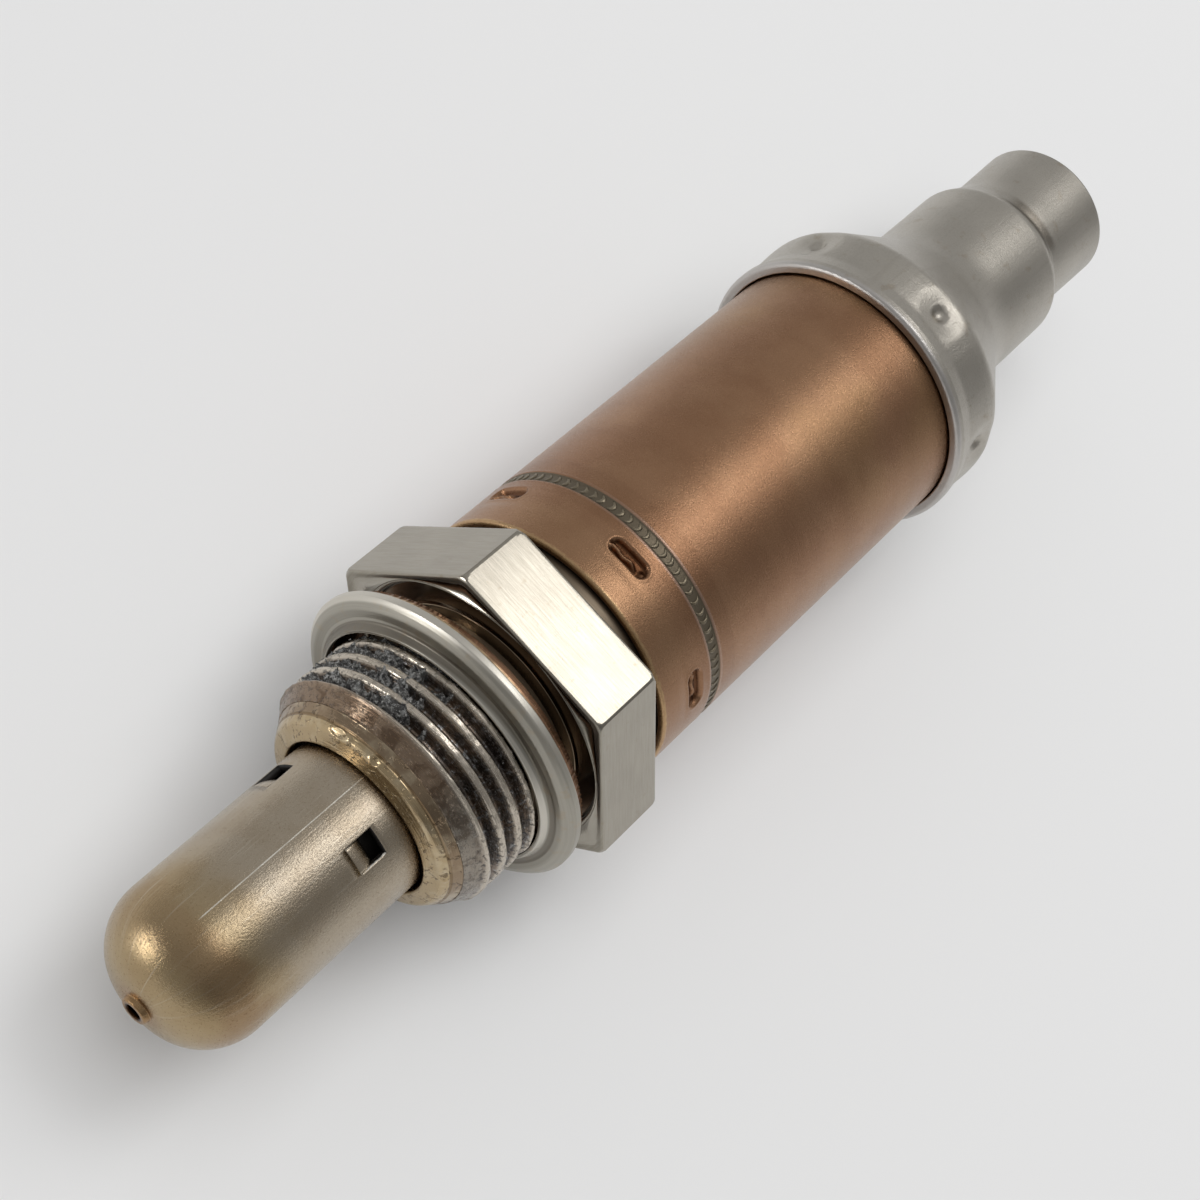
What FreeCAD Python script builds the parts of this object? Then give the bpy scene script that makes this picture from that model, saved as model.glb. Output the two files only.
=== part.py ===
import FreeCAD
import Part
import Sketcher
import math
import os
import re

# Heated zirconia oxygen sensor for an exhaust pipe, lying on its side.
# The frame: the origin is on the sensor's axis, in the plane where the gasket seals. +X runs forwards
# to the tip of the protection tube, and +Z is up, square to a flat of the hexagon.
# Lengths are in millimetres and angles in degrees. A station is a distance along X.

# Driving sizes: name, value and what it measures.
SIZES = [
    ("hex_flats", 22.0, "hexagon across its flats"),
    ("hex_height", 5.6, "hexagon from face to face"),
    ("hex_round", 0.35, "rounding of the hexagon's six corners"),
    ("recess_radius", 10.4, "turned recess in the hexagon's front face"),
    ("recess_depth", 0.9, "depth of that recess"),
    ("recess_lean", 0.6, "how far the recess's wall leans inwards"),
    ("relief_radius", 8.05, "undercut between hexagon and thread"),
    ("relief_length", 3.35, "hexagon face to the first thread"),
    ("thread_radius", 9.0, "outside of the M18 thread"),
    ("thread_length", 6.35, "threaded length with its run-outs"),
    ("thread_runout", 0.75, "bevel at each end of the thread"),
    ("throat_radius", 8.15, "rear end of the cone in front of the thread"),
    ("throat_length", 1.05, "length of that cone"),
    ("lip_radius", 7.3, "outside of the crimped lip"),
    ("lip_length", 0.7, "crimped lip in front of the cone"),
    ("lip_round", 0.95, "rounding of the lip's nose"),
    ("lip_nose", 0.3, "flat nose between the rounding and the mouth"),
    ("lip_thickness", 1.1, "lip over the tube's flange"),
    ("collar_length", 8.6, "rear collar behind the hexagon"),
    ("collar_play", 0.08, "gap between collar and sleeve"),
    ("gas_bore_radius", 5.2, "bore behind the tube's flange"),
    ("seat_station", 2.2, "shoulder that carries the thimble"),
    ("seat_land", 1.0, "thickness of that shoulder"),
    ("seat_hole_radius", 4.6, "hole through that shoulder"),
    ("rear_bore_radius", 6.6, "bore behind the shoulder"),
    ("tube_radius", 5.68, "outside of the protection tube"),
    ("tube_wall", 0.5, "sheet of the protection tube"),
    ("tube_reach", 29.45, "hexagon face to the end of the dome"),
    ("dome_round", 4.5, "rounding of the dome"),
    ("tube_flange_radius", 6.8, "flange that the lip holds"),
    ("tube_play", 0.05, "gap on each side of the flange"),
    ("mouth_play", 0.48, "gap between tube and lip"),
    ("nozzle_radius", 1.0, "outside of the nozzle's rim"),
    ("nozzle_hole_radius", 0.55, "hole of the nozzle"),
    ("nozzle_height", 0.42, "rim in front of the dome"),
    ("louvre_count", 4, "louvres round the tube"),
    ("louvre_station", 14.4, "middle of a louvre"),
    ("louvre_length", 2.2, "louvre along the tube"),
    ("louvre_width", 2.0, "louvre across the tube"),
    ("louvre_dip", 0.95, "how far a flap's free end is pressed in"),
    ("louvre_angle", 23.0, "first louvre, from the top"),
    ("gasket_rear", 1.6, "hexagon face to the ring"),
    ("gasket_height", 2.5, "ring from back to front"),
    ("gasket_sheet", 0.45, "sheet of the ring"),
    ("gasket_radius", 11.5, "outside of the ring"),
    ("gasket_rim_height", 0.6, "straight rim of the ring"),
    ("gasket_fold_radius", 10.7, "outer edge of the ring's rear leaf"),
    ("gasket_fold_height", 0.9, "rear leaf to the rim"),
    ("gasket_thread_play", 0.2, "gap between thread and front leaf"),
    ("gasket_relief_play", 0.3, "gap between undercut and rear leaf"),
    ("thimble_radius", 3.0, "thimble near its closed end"),
    ("thimble_root_radius", 4.1, "thimble next to its collar"),
    ("thimble_bore_radius", 1.95, "inside of the thimble"),
    ("thimble_end", 1.3, "closed end's thickness"),
    ("thimble_reach", 24.5, "hexagon face to the closed end"),
    ("thimble_collar_play", 0.3, "gap round the collar that sits on the seat"),
    ("thimble_collar_length", 3.5, "length of that collar"),
    ("thimble_head_step", 1.1, "how much narrower the head behind the collar is"),
    ("thimble_head_length", 3.4, "length of that head"),
    ("seat_ring_thickness", 0.5, "seal ring under the collar"),
    ("seat_ring_play", 0.15, "gap round the seal ring"),
    ("contact_thickness", 0.4, "disc of the inner contact"),
    ("contact_play", 0.05, "gap on each side of the contact's tube"),
    ("contact_length", 8.0, "tube of the inner contact"),
    ("contact_rim", 0.3, "contact's disc inside the thimble's head"),
    ("heater_radius", 1.5, "heater rod"),
    ("heater_round", 0.6, "rounding of the rod's front end"),
    ("heater_tip_play", 0.8, "gap between the rod's front end and the thimble"),
    ("heater_tail", 21.0, "hexagon face back to the rod's rear end"),
    ("support_play", 0.15, "gap between the support tube and the body's rear bore"),
    ("support_bore_radius", 3.4, "its bore"),
    ("support_head_play", 0.15, "gap round the thimble's head"),
    ("support_flange_station", 24.8, "hexagon face back to its flange"),
    ("support_flange_length", 2.6, "length of its flange"),
    ("carrier_side_play", 0.31, "gap between the terminal carrier and the sleeve's narrower end"),
    ("carrier_play", 0.1, "gap behind the carrier"),
    ("carrier_bore_play", 0.15, "gap round a crimp barrel"),
    ("carrier_core_radius", 2.4, "middle bore of the carrier"),
    ("spring_gap", 1.6, "support flange to carrier"),
    ("spring_width", 1.45, "disc spring from edge to edge"),
    ("spring_strip_play", 0.7, "gap between the ground strip and the disc spring"),
    ("spring_sheet", 0.5, "sheet of the disc spring"),
    ("spring_edge_play", 0.1, "spring's edge inside the carrier's"),
    ("strip_sheet", 0.3, "sheet of a terminal"),
    ("strip_width", 1.4, "width of a terminal"),
    ("terminal_pitch", 5.2, "crimp barrels from the axis"),
    ("barrel_radius", 1.4, "outside of a crimp barrel"),
    ("barrel_wall", 0.4, "wall of a crimp barrel"),
    ("barrel_length", 8.0, "length of a crimp barrel"),
    ("barrel_inset", 4.0, "carrier's front to a crimp barrel"),
    ("signal_radius", 2.75, "signal strip from the axis"),
    ("ground_play", 0.3, "gap between the ground strip and the support tube"),
    ("ground_foot", 1.6, "ground strip's foot on the collar"),
    ("notch_play", 0.3, "gap round the ground strip in its notch"),
    ("heater_strip_length", 5.5, "heater strip along the rod"),
    ("clamp_wall", 0.35, "wall of the clamp ring"),
    ("clamp_length", 3.0, "length of the clamp ring"),
    ("clamp_play", 0.1, "gap between clamp ring and strips"),
    ("clamp_sweep", 320.0, "how far the clamp ring goes round"),
    ("sleeve_wall", 0.6, "sheet of the sleeve"),
    ("sleeve_gap", 1.45, "hexagon to the sleeve"),
    ("sleeve_length", 40.05, "length of the sleeve"),
    ("sleeve_round", 0.9, "rounding of the sleeve's rear edge"),
    ("sleeve_neck_length", 3.9, "narrower rear end inside the cap's dimples"),
    ("sleeve_neck_slope", 0.5, "slope down to that end"),
    ("sleeve_neck_step", 0.29, "how much narrower that end is"),
    ("sleeve_hole_radius", 7.0, "hole in the sleeve's end wall"),
    ("dent_count", 6, "crimp dents round the sleeve"),
    ("dent_station", 10.45, "hexagon face back to a dent"),
    ("dent_length", 3.5, "dent round the sleeve"),
    ("dent_width", 1.6, "dent along the sleeve"),
    ("dent_depth", 0.45, "dent into the sleeve"),
    ("dent_angle", -2.5, "first dent, from the top"),
    ("dent_groove_play", 0.1, "gap between a dent and its groove"),
    ("seam_station", 12.65, "hexagon face back to the seam's middle"),
    ("seam_width", 1.15, "width of the seam"),
    ("seam_depth", 0.08, "depth of the seam"),
    ("cap_wall", 0.6, "sheet of the cap"),
    ("cap_station", 40.9, "hexagon face back to the cap's rim"),
    ("cap_rim_play", 0.35, "gap between the cap's rim and the sleeve"),
    ("cap_rim_round", 0.2, "rounding of the cap's rim"),
    ("cap_rim_length", 0.8, "length of the rim"),
    ("cap_waist_play", 0.12, "gap between the cap's waist and the sleeve"),
    ("cap_waist_station", 1.9, "rim to waist"),
    ("cap_crown_play", 0.26, "gap between the cap's swelling and the sleeve"),
    ("cap_crown_station", 4.2, "rim to the swelling"),
    ("cap_crown_length", 0.97, "swelling to the shoulder's corner"),
    ("shoulder_run", 7.23, "shoulder from corner to corner"),
    ("shoulder_round", 2.6, "rounding of the shoulder's outer corner"),
    ("neck_round", 8.0, "rounding between shoulder and neck"),
    ("neck_radius", 6.93, "outside of the neck"),
    ("neck_length", 8.9, "neck from corner to corner"),
    ("crease_radius", 5.85, "crease behind the neck"),
    ("crease_run", 1.5, "neck to the crease"),
    ("crease_round", 0.8, "rounding on both sides of the crease's slope"),
    ("spout_radius", 5.95, "outside of the spout behind the crease"),
    ("spout_length", 7.5, "crease to the spout's end"),
    ("spout_round", 0.5, "rounding of the spout's end"),
    ("dimple_count", 6, "dimples round the cap"),
    ("dimple_station", 3.6, "rim back to a dimple"),
    ("dimple_radius", 0.9, "radius of a dimple"),
    ("dimple_angle", 6.0, "first dimple, from the top"),
    ("latch_play", 0.05, "gap between the cap's dimples and the sleeve"),
    ("grommet_play", 0.05, "gap between grommet and cap"),
    ("grommet_inset", 0.6, "grommet behind the spout's end"),
    ("grommet_lead_in", 1.2, "grommet behind the neck's front corner"),
    ("lead_bore_radius", 1.0, "bore for a lead"),
    ("lead_bore_pitch", 2.9, "lead bores from the axis"),
]

# Places and sizes that follow from the driving sizes, as formulas in their order.
PLACES = [
    ("thimble_collar_radius", "rear_bore_radius - thimble_collar_play"),
    ("thimble_head_radius", "thimble_collar_radius - thimble_head_step"),
    ("support_radius", "rear_bore_radius - support_play"),
    ("ground_radius", "support_radius + ground_play"),
    ("spring_inner_radius", "ground_radius + strip_sheet + spring_strip_play"),
    ("spring_outer_radius", "spring_inner_radius + spring_width"),
    ("carrier_radius", "spring_outer_radius + spring_edge_play"),
    ("sleeve_neck_bore", "carrier_radius + carrier_side_play"),
    ("sleeve_neck_radius", "sleeve_neck_bore + sleeve_wall"),
    ("sleeve_radius", "sleeve_neck_radius + sleeve_neck_step"),
    ("hex_front", "-(gasket_rear + gasket_height)"),
    ("hex_back", "hex_front - hex_height"),
    ("hex_side", "hex_flats / 2 / sqrt(3)"),
    ("hex_middle", "hex_front - hex_height / 2"),
    ("recess_floor", "hex_front - recess_depth"),
    ("thread_back", "hex_front + relief_length"),
    ("thread_front", "thread_back + thread_length"),
    ("throat_front", "thread_front + throat_length"),
    ("lip_front", "throat_front + lip_length"),
    ("mouth_radius", "tube_radius + mouth_play"),
    ("collar_back", "hex_back - collar_length"),
    ("collar_radius", "sleeve_radius - sleeve_wall - collar_play"),
    ("pocket_front", "lip_front - lip_thickness"),
    ("pocket_back", "pocket_front - tube_wall - 2 * tube_play"),
    ("pocket_radius", "tube_flange_radius + 2 * tube_play"),
    ("seat_front", "hex_front + seat_station"),
    ("dent_place", "hex_front - dent_station"),
    ("dent_floor", "sleeve_radius - dent_depth"),
    ("dent_belly", "dent_floor - sleeve_wall"),
    ("groove_radius", "dent_belly - dent_groove_play"),
    ("groove_front", "dent_place + dent_width / 2 + dent_groove_play"),
    ("groove_back", "dent_place - dent_width / 2 - dent_groove_play"),
    ("tube_front", "hex_front + tube_reach"),
    ("tube_bore", "tube_radius - tube_wall"),
    ("tube_flange_front", "pocket_front - tube_play"),
    ("tube_flange_back", "tube_flange_front - tube_wall"),
    ("louvre_front", "hex_front + louvre_station + louvre_length / 2"),
    ("louvre_back", "louvre_front - louvre_length"),
    ("louvre_hinge", "louvre_front + tube_wall / 2"),
    ("gasket_back", "hex_front + gasket_rear"),
    ("gasket_front", "gasket_back + gasket_height"),
    ("gasket_rim_rear", "gasket_back + gasket_fold_height"),
    ("gasket_rim_front", "gasket_rim_rear + gasket_rim_height"),
    ("gasket_lip_radius", "thread_radius + gasket_thread_play"),
    ("gasket_leaf_radius", "relief_radius + gasket_relief_play"),
    ("thimble_front", "hex_front + thimble_reach"),
    ("seat_ring_back", "seat_front - seat_ring_thickness"),
    ("collar_rear", "seat_ring_back - thimble_collar_length"),
    ("thimble_back", "collar_rear - thimble_head_length"),
    ("contact_back", "thimble_back - contact_thickness"),
    ("heater_front", "thimble_front - thimble_end - heater_tip_play"),
    ("heater_back", "hex_front - heater_tail"),
    ("support_step", "contact_back - contact_play"),
    ("support_head_radius", "thimble_head_radius + support_head_play"),
    ("support_flange_front", "hex_front - support_flange_station"),
    ("support_back", "support_flange_front - support_flange_length"),
    ("carrier_front", "support_back - spring_gap"),
    ("sleeve_front", "hex_back - sleeve_gap"),
    ("sleeve_back", "sleeve_front - sleeve_length"),
    ("sleeve_floor", "sleeve_back + sleeve_wall"),
    ("sleeve_bore", "sleeve_radius - sleeve_wall"),
    ("sleeve_neck_front", "sleeve_back + sleeve_neck_length"),
    ("carrier_back", "sleeve_floor + carrier_play"),
    ("carrier_hole_radius", "barrel_radius + carrier_bore_play"),
    ("jog_station", "(support_back + carrier_front) / 2"),
    ("barrel_front", "carrier_front - barrel_inset"),
    ("barrel_bore", "barrel_radius - barrel_wall"),
    ("barrel_inner_strip", "terminal_pitch - barrel_radius + (barrel_wall - strip_sheet) / 2"),
    ("barrel_outer_strip", "terminal_pitch + barrel_radius - (barrel_wall + strip_sheet) / 2"),
    ("heater_strip_radius", "heater_radius + contact_play"),
    ("clamp_bore", "sqrt((heater_strip_radius + strip_sheet)^2 + (strip_width / 2)^2) + clamp_play"),
    ("heater_strip_front", "heater_back + heater_strip_length"),
    ("clamp_front", "heater_back + heater_strip_length / 2 + clamp_length / 2"),
    ("seam_front", "hex_front - seam_station + seam_width / 2"),
    ("seam_back", "seam_front - seam_width"),
    ("cap_front", "hex_front - cap_station"),
    ("waist", "cap_front - cap_waist_station"),
    ("cap_rim_radius", "sleeve_radius + cap_rim_play + cap_wall"),
    ("cap_waist_radius", "sleeve_radius + cap_waist_play + cap_wall"),
    ("cap_crown_radius", "sleeve_radius + cap_crown_play + cap_wall"),
    ("crown_front", "cap_front - cap_crown_station"),
    ("shoulder_front", "crown_front - cap_crown_length"),
    ("neck_front", "shoulder_front - shoulder_run"),
    ("neck_back", "neck_front - neck_length"),
    ("crease", "neck_back - crease_run"),
    ("spout_back", "crease - spout_length"),
    ("shoulder_shift", "cap_wall * tan(atan((cap_crown_radius - neck_radius) / shoulder_run) / 2)"),
    ("crease_shift", "cap_wall * tan(atan((neck_radius - crease_radius) / crease_run) / 2)"),
    ("grommet_front", "neck_front - grommet_lead_in"),
    ("grommet_back", "spout_back + grommet_inset"),
    ("dimple_place", "cap_front - dimple_station"),
    ("dimple_belly", "sleeve_neck_radius + latch_play"),
    ("dimple_floor", "dimple_belly + cap_wall"),
]

SIZE_NAMES = {name for name, _, _ in SIZES}
PLACE_NAMES = {name for name, _ in PLACES}

doc = FreeCAD.newDocument("oxygen_sensor")


def sheet_words(text):
    """A formula with each plain name led by the sheet that holds it."""
    def with_sheet(match):
        word = match.group()
        if word in SIZE_NAMES:
            return "Sizes." + word
        return "Places." + word if word in PLACE_NAMES else word
    return re.sub("[a-z][a-z_0-9]*", with_sheet, text)


def make_sheets():
    """The sheet of driving sizes, and the sheet of places worked out from it."""
    sizes = doc.addObject("Spreadsheet::Sheet", "Sizes")
    for row, (name, value, note) in enumerate(SIZES, start=1):
        sizes.set(f"A{row}", note)
        sizes.set(f"B{row}", str(value))
        sizes.setAlias(f"B{row}", name)
    places = doc.addObject("Spreadsheet::Sheet", "Places")
    for row, (name, formula) in enumerate(PLACES, start=1):
        places.set(f"A{row}", name.replace("_", " "))
        places.set(f"B{row}", "=" + sheet_words(formula))
        places.setAlias(f"B{row}", name)
    doc.recompute()
    return sizes, places


sizes_sheet, places_sheet = make_sheets()


def number(formula):
    """The value of a formula on the sheets' names."""
    result = sizes_sheet.evalExpression(sheet_words(formula))
    return float(getattr(result, "Value", result))


def origin_feature(body, role):
    """A body's own plane or axis."""
    return next(item for item in body.Origin.OriginFeatures if item.Role == role)


def new_body(name):
    """An empty body whose label names its file."""
    body = doc.addObject("PartDesign::Body", name)
    body.Label = name
    return body


def arc_between(start, end, radius, bulge):
    """The short arc of a radius between two points, its bulge left (1) or right (-1) of the way."""
    middle = (start + end) * 0.5
    half = (end - start).Length / 2
    along = (end - start).normalize()
    left = FreeCAD.Vector(-along.y, along.x, 0)
    centre = middle - left * (bulge * math.sqrt(max(radius * radius - half * half, 0)))
    circle = Part.Circle(centre, FreeCAD.Vector(0, 0, 1), radius)
    angles = [math.atan2(point.y - centre.y, point.x - centre.x) for point in (start, end)]
    if bulge > 0:
        angles.reverse()
    if angles[1] < angles[0]:
        angles[1] += 2 * math.pi
    return Part.ArcOfCircle(circle, angles[0], angles[1])


def outline_sketch(body, role, outline, height=None):
    """A closed sketch on a body's own plane. Each corner is two formulas. A corner that an arc leads to
    has the arc's radius and its bulge besides, or the bulge alone for a half circle. One corner with a
    radius is a circle. height lifts the sketch off the plane."""
    sketch = body.newObject("Sketcher::SketchObject", body.Name + "_sketch")
    sketch.AttachmentSupport = [(origin_feature(body, role), "")]
    sketch.MapMode = "FlatFace"
    if height:
        sketch.setExpression("AttachmentOffset.Base.z", sheet_words(height))
    corners = [FreeCAD.Vector(number(corner[0]), number(corner[1]), 0) for corner in outline]
    if len(outline) == 1:
        radius = outline[0][2]
        circle = Part.Circle(corners[0], FreeCAD.Vector(0, 0, 1), number(radius))
        geometry = sketch.addGeometry(circle, False)
        size_constraint(sketch, ["Radius", geometry], radius)
        place_point(sketch, geometry, 3, outline[0])
        return sketch
    ends = []
    for index, corner in enumerate(outline):
        start, end = corners[index - 1], corners[index]
        if len(corner) == 2:
            geometry = sketch.addGeometry(Part.LineSegment(start, end), False)
            ends.append((geometry, 1, 2))
            continue
        bulge = corner[-1]
        radius = number(corner[2]) if len(corner) == 4 else (end - start).Length / 2
        geometry = sketch.addGeometry(arc_between(start, end, radius, bulge), False)
        ends.append((geometry, 2, 1) if bulge > 0 else (geometry, 1, 2))
        if len(corner) == 4:
            size_constraint(sketch, ["Radius", geometry], corner[2])
        else:
            size_constraint(sketch, ["DistanceY", -1, 1, geometry, 3], corner[1])
    for index, corner in enumerate(outline):
        geometry, _, last = ends[index]
        following, first, _ = ends[(index + 1) % len(outline)]
        sketch.addConstraint(Sketcher.Constraint("Coincident", geometry, last, following, first))
        place_point(sketch, geometry, last, corner)
    return sketch


def place_point(sketch, geometry, point, corner):
    """Holds a point of a sketch at two formulas' distances from the sketch's origin."""
    for kind, formula in (("DistanceX", corner[0]), ("DistanceY", corner[1])):
        size_constraint(sketch, [kind, -1, 1, geometry, point], formula)


def size_constraint(sketch, words, formula):
    """A dimension of a sketch that follows a formula."""
    index = sketch.addConstraint(Sketcher.Constraint(*words, number(formula)))
    sketch.setExpression(f"Constraints[{index}]", sheet_words(formula))


def revolve(body, outline, kind="Revolution", sweep=None):
    """Turns an outline of stations and radii about the sensor's axis."""
    sketch = outline_sketch(body, "XZ_Plane", outline)
    feature = body.newObject("PartDesign::" + kind, body.Name + "_turned")
    feature.Profile = sketch
    feature.ReferenceAxis = (sketch, ["H_Axis"])
    if sweep:
        feature.setExpression("Angle", sheet_words(sweep))
    else:
        feature.Angle = 360
    return feature


def extrude(body, role, outline, length, kind="Pad", height=None, midplane=False, turned_round=False):
    """Pads or pockets an outline on one of the body's planes."""
    sketch = outline_sketch(body, role, outline, height)
    feature = body.newObject("PartDesign::" + kind, body.Name + "_" + kind.lower())
    feature.Profile = sketch
    feature.Midplane = midplane
    feature.Reversed = turned_round
    feature.setExpression("Length", sheet_words(length))
    return feature


def around(body, feature, count):
    """Repeats a feature round the sensor's axis."""
    pattern = body.newObject("PartDesign::PolarPattern", body.Name + "_round")
    pattern.Originals = [feature]
    pattern.Axis = (origin_feature(body, "X_Axis"), [""])
    pattern.Angle = 360
    pattern.setExpression("Occurrences", sheet_words(count))
    body.Tip = pattern
    return pattern


def turn_to(body, angle):
    """Turns a finished body about the sensor's axis, so that what is at the top goes to an angle
    from the top towards +Y."""
    body.Placement.Rotation = FreeCAD.Rotation(FreeCAD.Vector(1, 0, 0), 0)
    body.setExpression("Placement.Rotation.Axis.x", "1")
    body.setExpression("Placement.Rotation.Axis.y", "0")
    body.setExpression("Placement.Rotation.Axis.z", "0")
    body.setExpression("Placement.Rotation.Angle", sheet_words("-1 * ( " + angle + " )"))


def box_outline(low_x, high_x, low_y, high_y):
    """A rectangle's four corners."""
    return [(low_x, low_y), (high_x, low_y), (high_x, high_y), (low_x, high_y)]


def slot_outline(station, width, length):
    """A slot across the sensor's axis, whose ends are half circles."""
    low, high = f"{station} - {width} / 2", f"{station} + {width} / 2"
    side, far_side = f"({length} - {width}) / 2", f"({width} - {length}) / 2"
    return [(high, side), (low, side, -1), (low, far_side), (high, far_side, -1)]


def round_edges(body, base, radius, wanted):
    """Rounds the edges of a body's last feature that a test picks."""
    doc.recompute()
    names = [f"Edge{index}" for index, edge in enumerate(base.Shape.Edges, start=1) if wanted(edge)]
    if not names:
        raise RuntimeError(f"{body.Label} has no edge to round with {radius}")
    fillet = body.newObject("PartDesign::Fillet", body.Name + "_fillet")
    fillet.Base = (base, names)
    fillet.setExpression("Radius", sheet_words(radius))
    return fillet


def at_ring(station, radius):
    """A test for the circular edge at a station and a radius."""
    def wanted(edge):
        circle = edge.Curve
        return isinstance(circle, Part.Circle) and abs(circle.Radius - number(radius)) < 1e-4 \
            and abs(circle.Center.x - number(station)) < 1e-4
    return wanted


def make_sensor_body():
    """Hexagon, threaded shank with its crimped lip, and the collar that carries the sleeve."""
    body = new_body("sensor_body")
    half = "hex_flats / 2"
    hexagon = [("2 * hex_side", "0"), ("hex_side", half), ("-1 * hex_side", half),
               ("-2 * hex_side", "0"), ("-1 * hex_side", f"-1 * {half}"), ("hex_side", f"-1 * {half}")]
    extrude(body, "YZ_Plane", hexagon, "hex_height", height="hex_front", turned_round=True)
    revolve(body, [
        ("collar_back", "0"),
        ("collar_back", "collar_radius"),
        ("groove_back", "collar_radius"),
        ("groove_back", "groove_radius"),
        ("groove_front", "groove_radius"),
        ("groove_front", "collar_radius"),
        ("hex_middle", "collar_radius"),
        ("hex_middle", "relief_radius"),
        ("thread_back", "relief_radius"),
        ("thread_back + thread_runout", "thread_radius"),
        ("thread_front - thread_runout", "thread_radius"),
        ("thread_front", "throat_radius"),
        ("throat_front", "lip_radius"),
        ("lip_front", "mouth_radius + lip_nose", "lip_round", 1),
        ("lip_front", "0"),
    ])
    revolve(body, [
        ("hex_front", "relief_radius"),
        ("hex_front", "recess_radius"),
        ("recess_floor", "recess_radius - recess_lean"),
        ("recess_floor", "relief_radius"),
    ], "Groove")
    bore = revolve(body, [
        ("lip_front", "0"),
        ("lip_front", "mouth_radius"),
        ("pocket_front", "mouth_radius"),
        ("pocket_front", "pocket_radius"),
        ("pocket_back", "pocket_radius"),
        ("pocket_back", "gas_bore_radius"),
        ("seat_front + seat_land", "gas_bore_radius"),
        ("seat_front + seat_land", "seat_hole_radius"),
        ("seat_front", "seat_hole_radius"),
        ("seat_front", "rear_bore_radius"),
        ("collar_back", "rear_bore_radius"),
        ("collar_back", "0"),
    ], "Groove")
    corner = number("hex_flats") / math.sqrt(3)

    def is_hexagon_corner(edge):
        ends = [vertex.Point for vertex in edge.Vertexes]
        return len(ends) == 2 and all(abs(math.hypot(p.y, p.z) - corner) < 1e-4 for p in ends) \
            and abs(ends[0].x - ends[1].x) > 0.1

    round_edges(body, bore, "hex_round", is_hexagon_corner)
    return body


def make_gasket_ring():
    """Captive seal: a sheet ring folded over its outer rim, with a front and a rear leaf."""
    body = new_body("gasket_ring")
    revolve(body, [
        ("gasket_back", "gasket_leaf_radius"),
        ("gasket_back", "gasket_fold_radius"),
        ("gasket_rim_rear", "gasket_radius"),
        ("gasket_rim_front", "gasket_radius"),
        ("gasket_front", "gasket_lip_radius"),
        ("gasket_front - gasket_sheet", "gasket_lip_radius"),
        ("gasket_rim_front - gasket_sheet / 3", "gasket_radius - gasket_sheet"),
        ("gasket_rim_rear + gasket_sheet / 3", "gasket_radius - gasket_sheet"),
        ("gasket_back + gasket_sheet", "gasket_fold_radius - gasket_sheet / 2"),
        ("gasket_back + gasket_sheet", "gasket_leaf_radius"),
    ])
    return body


def make_protection_tube():
    """Drawn tube over the sensing tip: a flange, a dome with its nozzle, and pressed-in louvres."""
    body = new_body("protection_tube")
    revolve(body, [
        ("tube_flange_back", "tube_bore"),
        ("tube_flange_back", "tube_flange_radius"),
        ("tube_flange_front", "tube_flange_radius"),
        ("tube_flange_front", "tube_radius"),
        ("tube_front - dome_round", "tube_radius"),
        ("tube_front", "tube_radius - dome_round", "dome_round", 1),
        ("tube_front", "nozzle_hole_radius"),
        ("tube_front - tube_wall", "nozzle_hole_radius"),
        ("tube_front - tube_wall", "tube_radius - dome_round"),
        ("tube_front - dome_round", "tube_bore", "dome_round - tube_wall", -1),
    ])
    revolve(body, box_outline("tube_front - tube_wall", "tube_front + nozzle_height",
                              "nozzle_hole_radius", "nozzle_radius"))
    window = extrude(body, "XZ_Plane",
                     box_outline("louvre_back", "louvre_front",
                                 "tube_bore - tube_wall", "tube_radius + tube_wall"),
                     "louvre_width", "Pocket", midplane=True)
    around(body, window, "louvre_count")
    flap = extrude(body, "XZ_Plane",
                   [("louvre_back", "tube_bore - louvre_dip"),
                    ("louvre_hinge", "tube_bore"),
                    ("louvre_hinge", "tube_radius - tube_wall / 4"),
                    ("louvre_back", "tube_radius - louvre_dip")],
                   "louvre_width", midplane=True)
    around(body, flap, "louvre_count")
    turn_to(body, "louvre_angle")
    return body


def make_zirconia_thimble():
    """Ceramic thimble with a closed tip, a collar on the body's seat and a head behind it."""
    body = new_body("zirconia_thimble")
    revolve(body, [
        ("thimble_back", "thimble_bore_radius"),
        ("thimble_back", "thimble_head_radius"),
        ("collar_rear", "thimble_head_radius"),
        ("collar_rear", "thimble_collar_radius"),
        ("seat_ring_back", "thimble_collar_radius"),
        ("seat_ring_back", "thimble_root_radius"),
        ("thimble_front - thimble_radius", "thimble_radius"),
        ("thimble_front", "0", "thimble_radius", 1),
        ("thimble_front - thimble_end", "0"),
        ("thimble_front - thimble_end - thimble_bore_radius", "thimble_bore_radius",
         "thimble_bore_radius", -1),
    ])
    return body


def make_seat_ring():
    """Metal seal between the body's shoulder and the thimble's collar."""
    body = new_body("seat_ring")
    revolve(body, box_outline("seat_ring_back", "seat_front", "seat_hole_radius",
                              "rear_bore_radius - seat_ring_play"))
    return body


def make_contact_bush():
    """Inner contact: a disc on the thimble's head and a tube round the heater rod."""
    body = new_body("contact_bush")
    revolve(body, [
        ("contact_back", "heater_radius + contact_play"),
        ("contact_back", "thimble_head_radius - contact_rim"),
        ("thimble_back", "thimble_head_radius - contact_rim"),
        ("thimble_back", "thimble_bore_radius - contact_play"),
        ("thimble_back + contact_length", "thimble_bore_radius - contact_play"),
        ("thimble_back + contact_length", "heater_radius + contact_play"),
    ])
    return body


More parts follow.
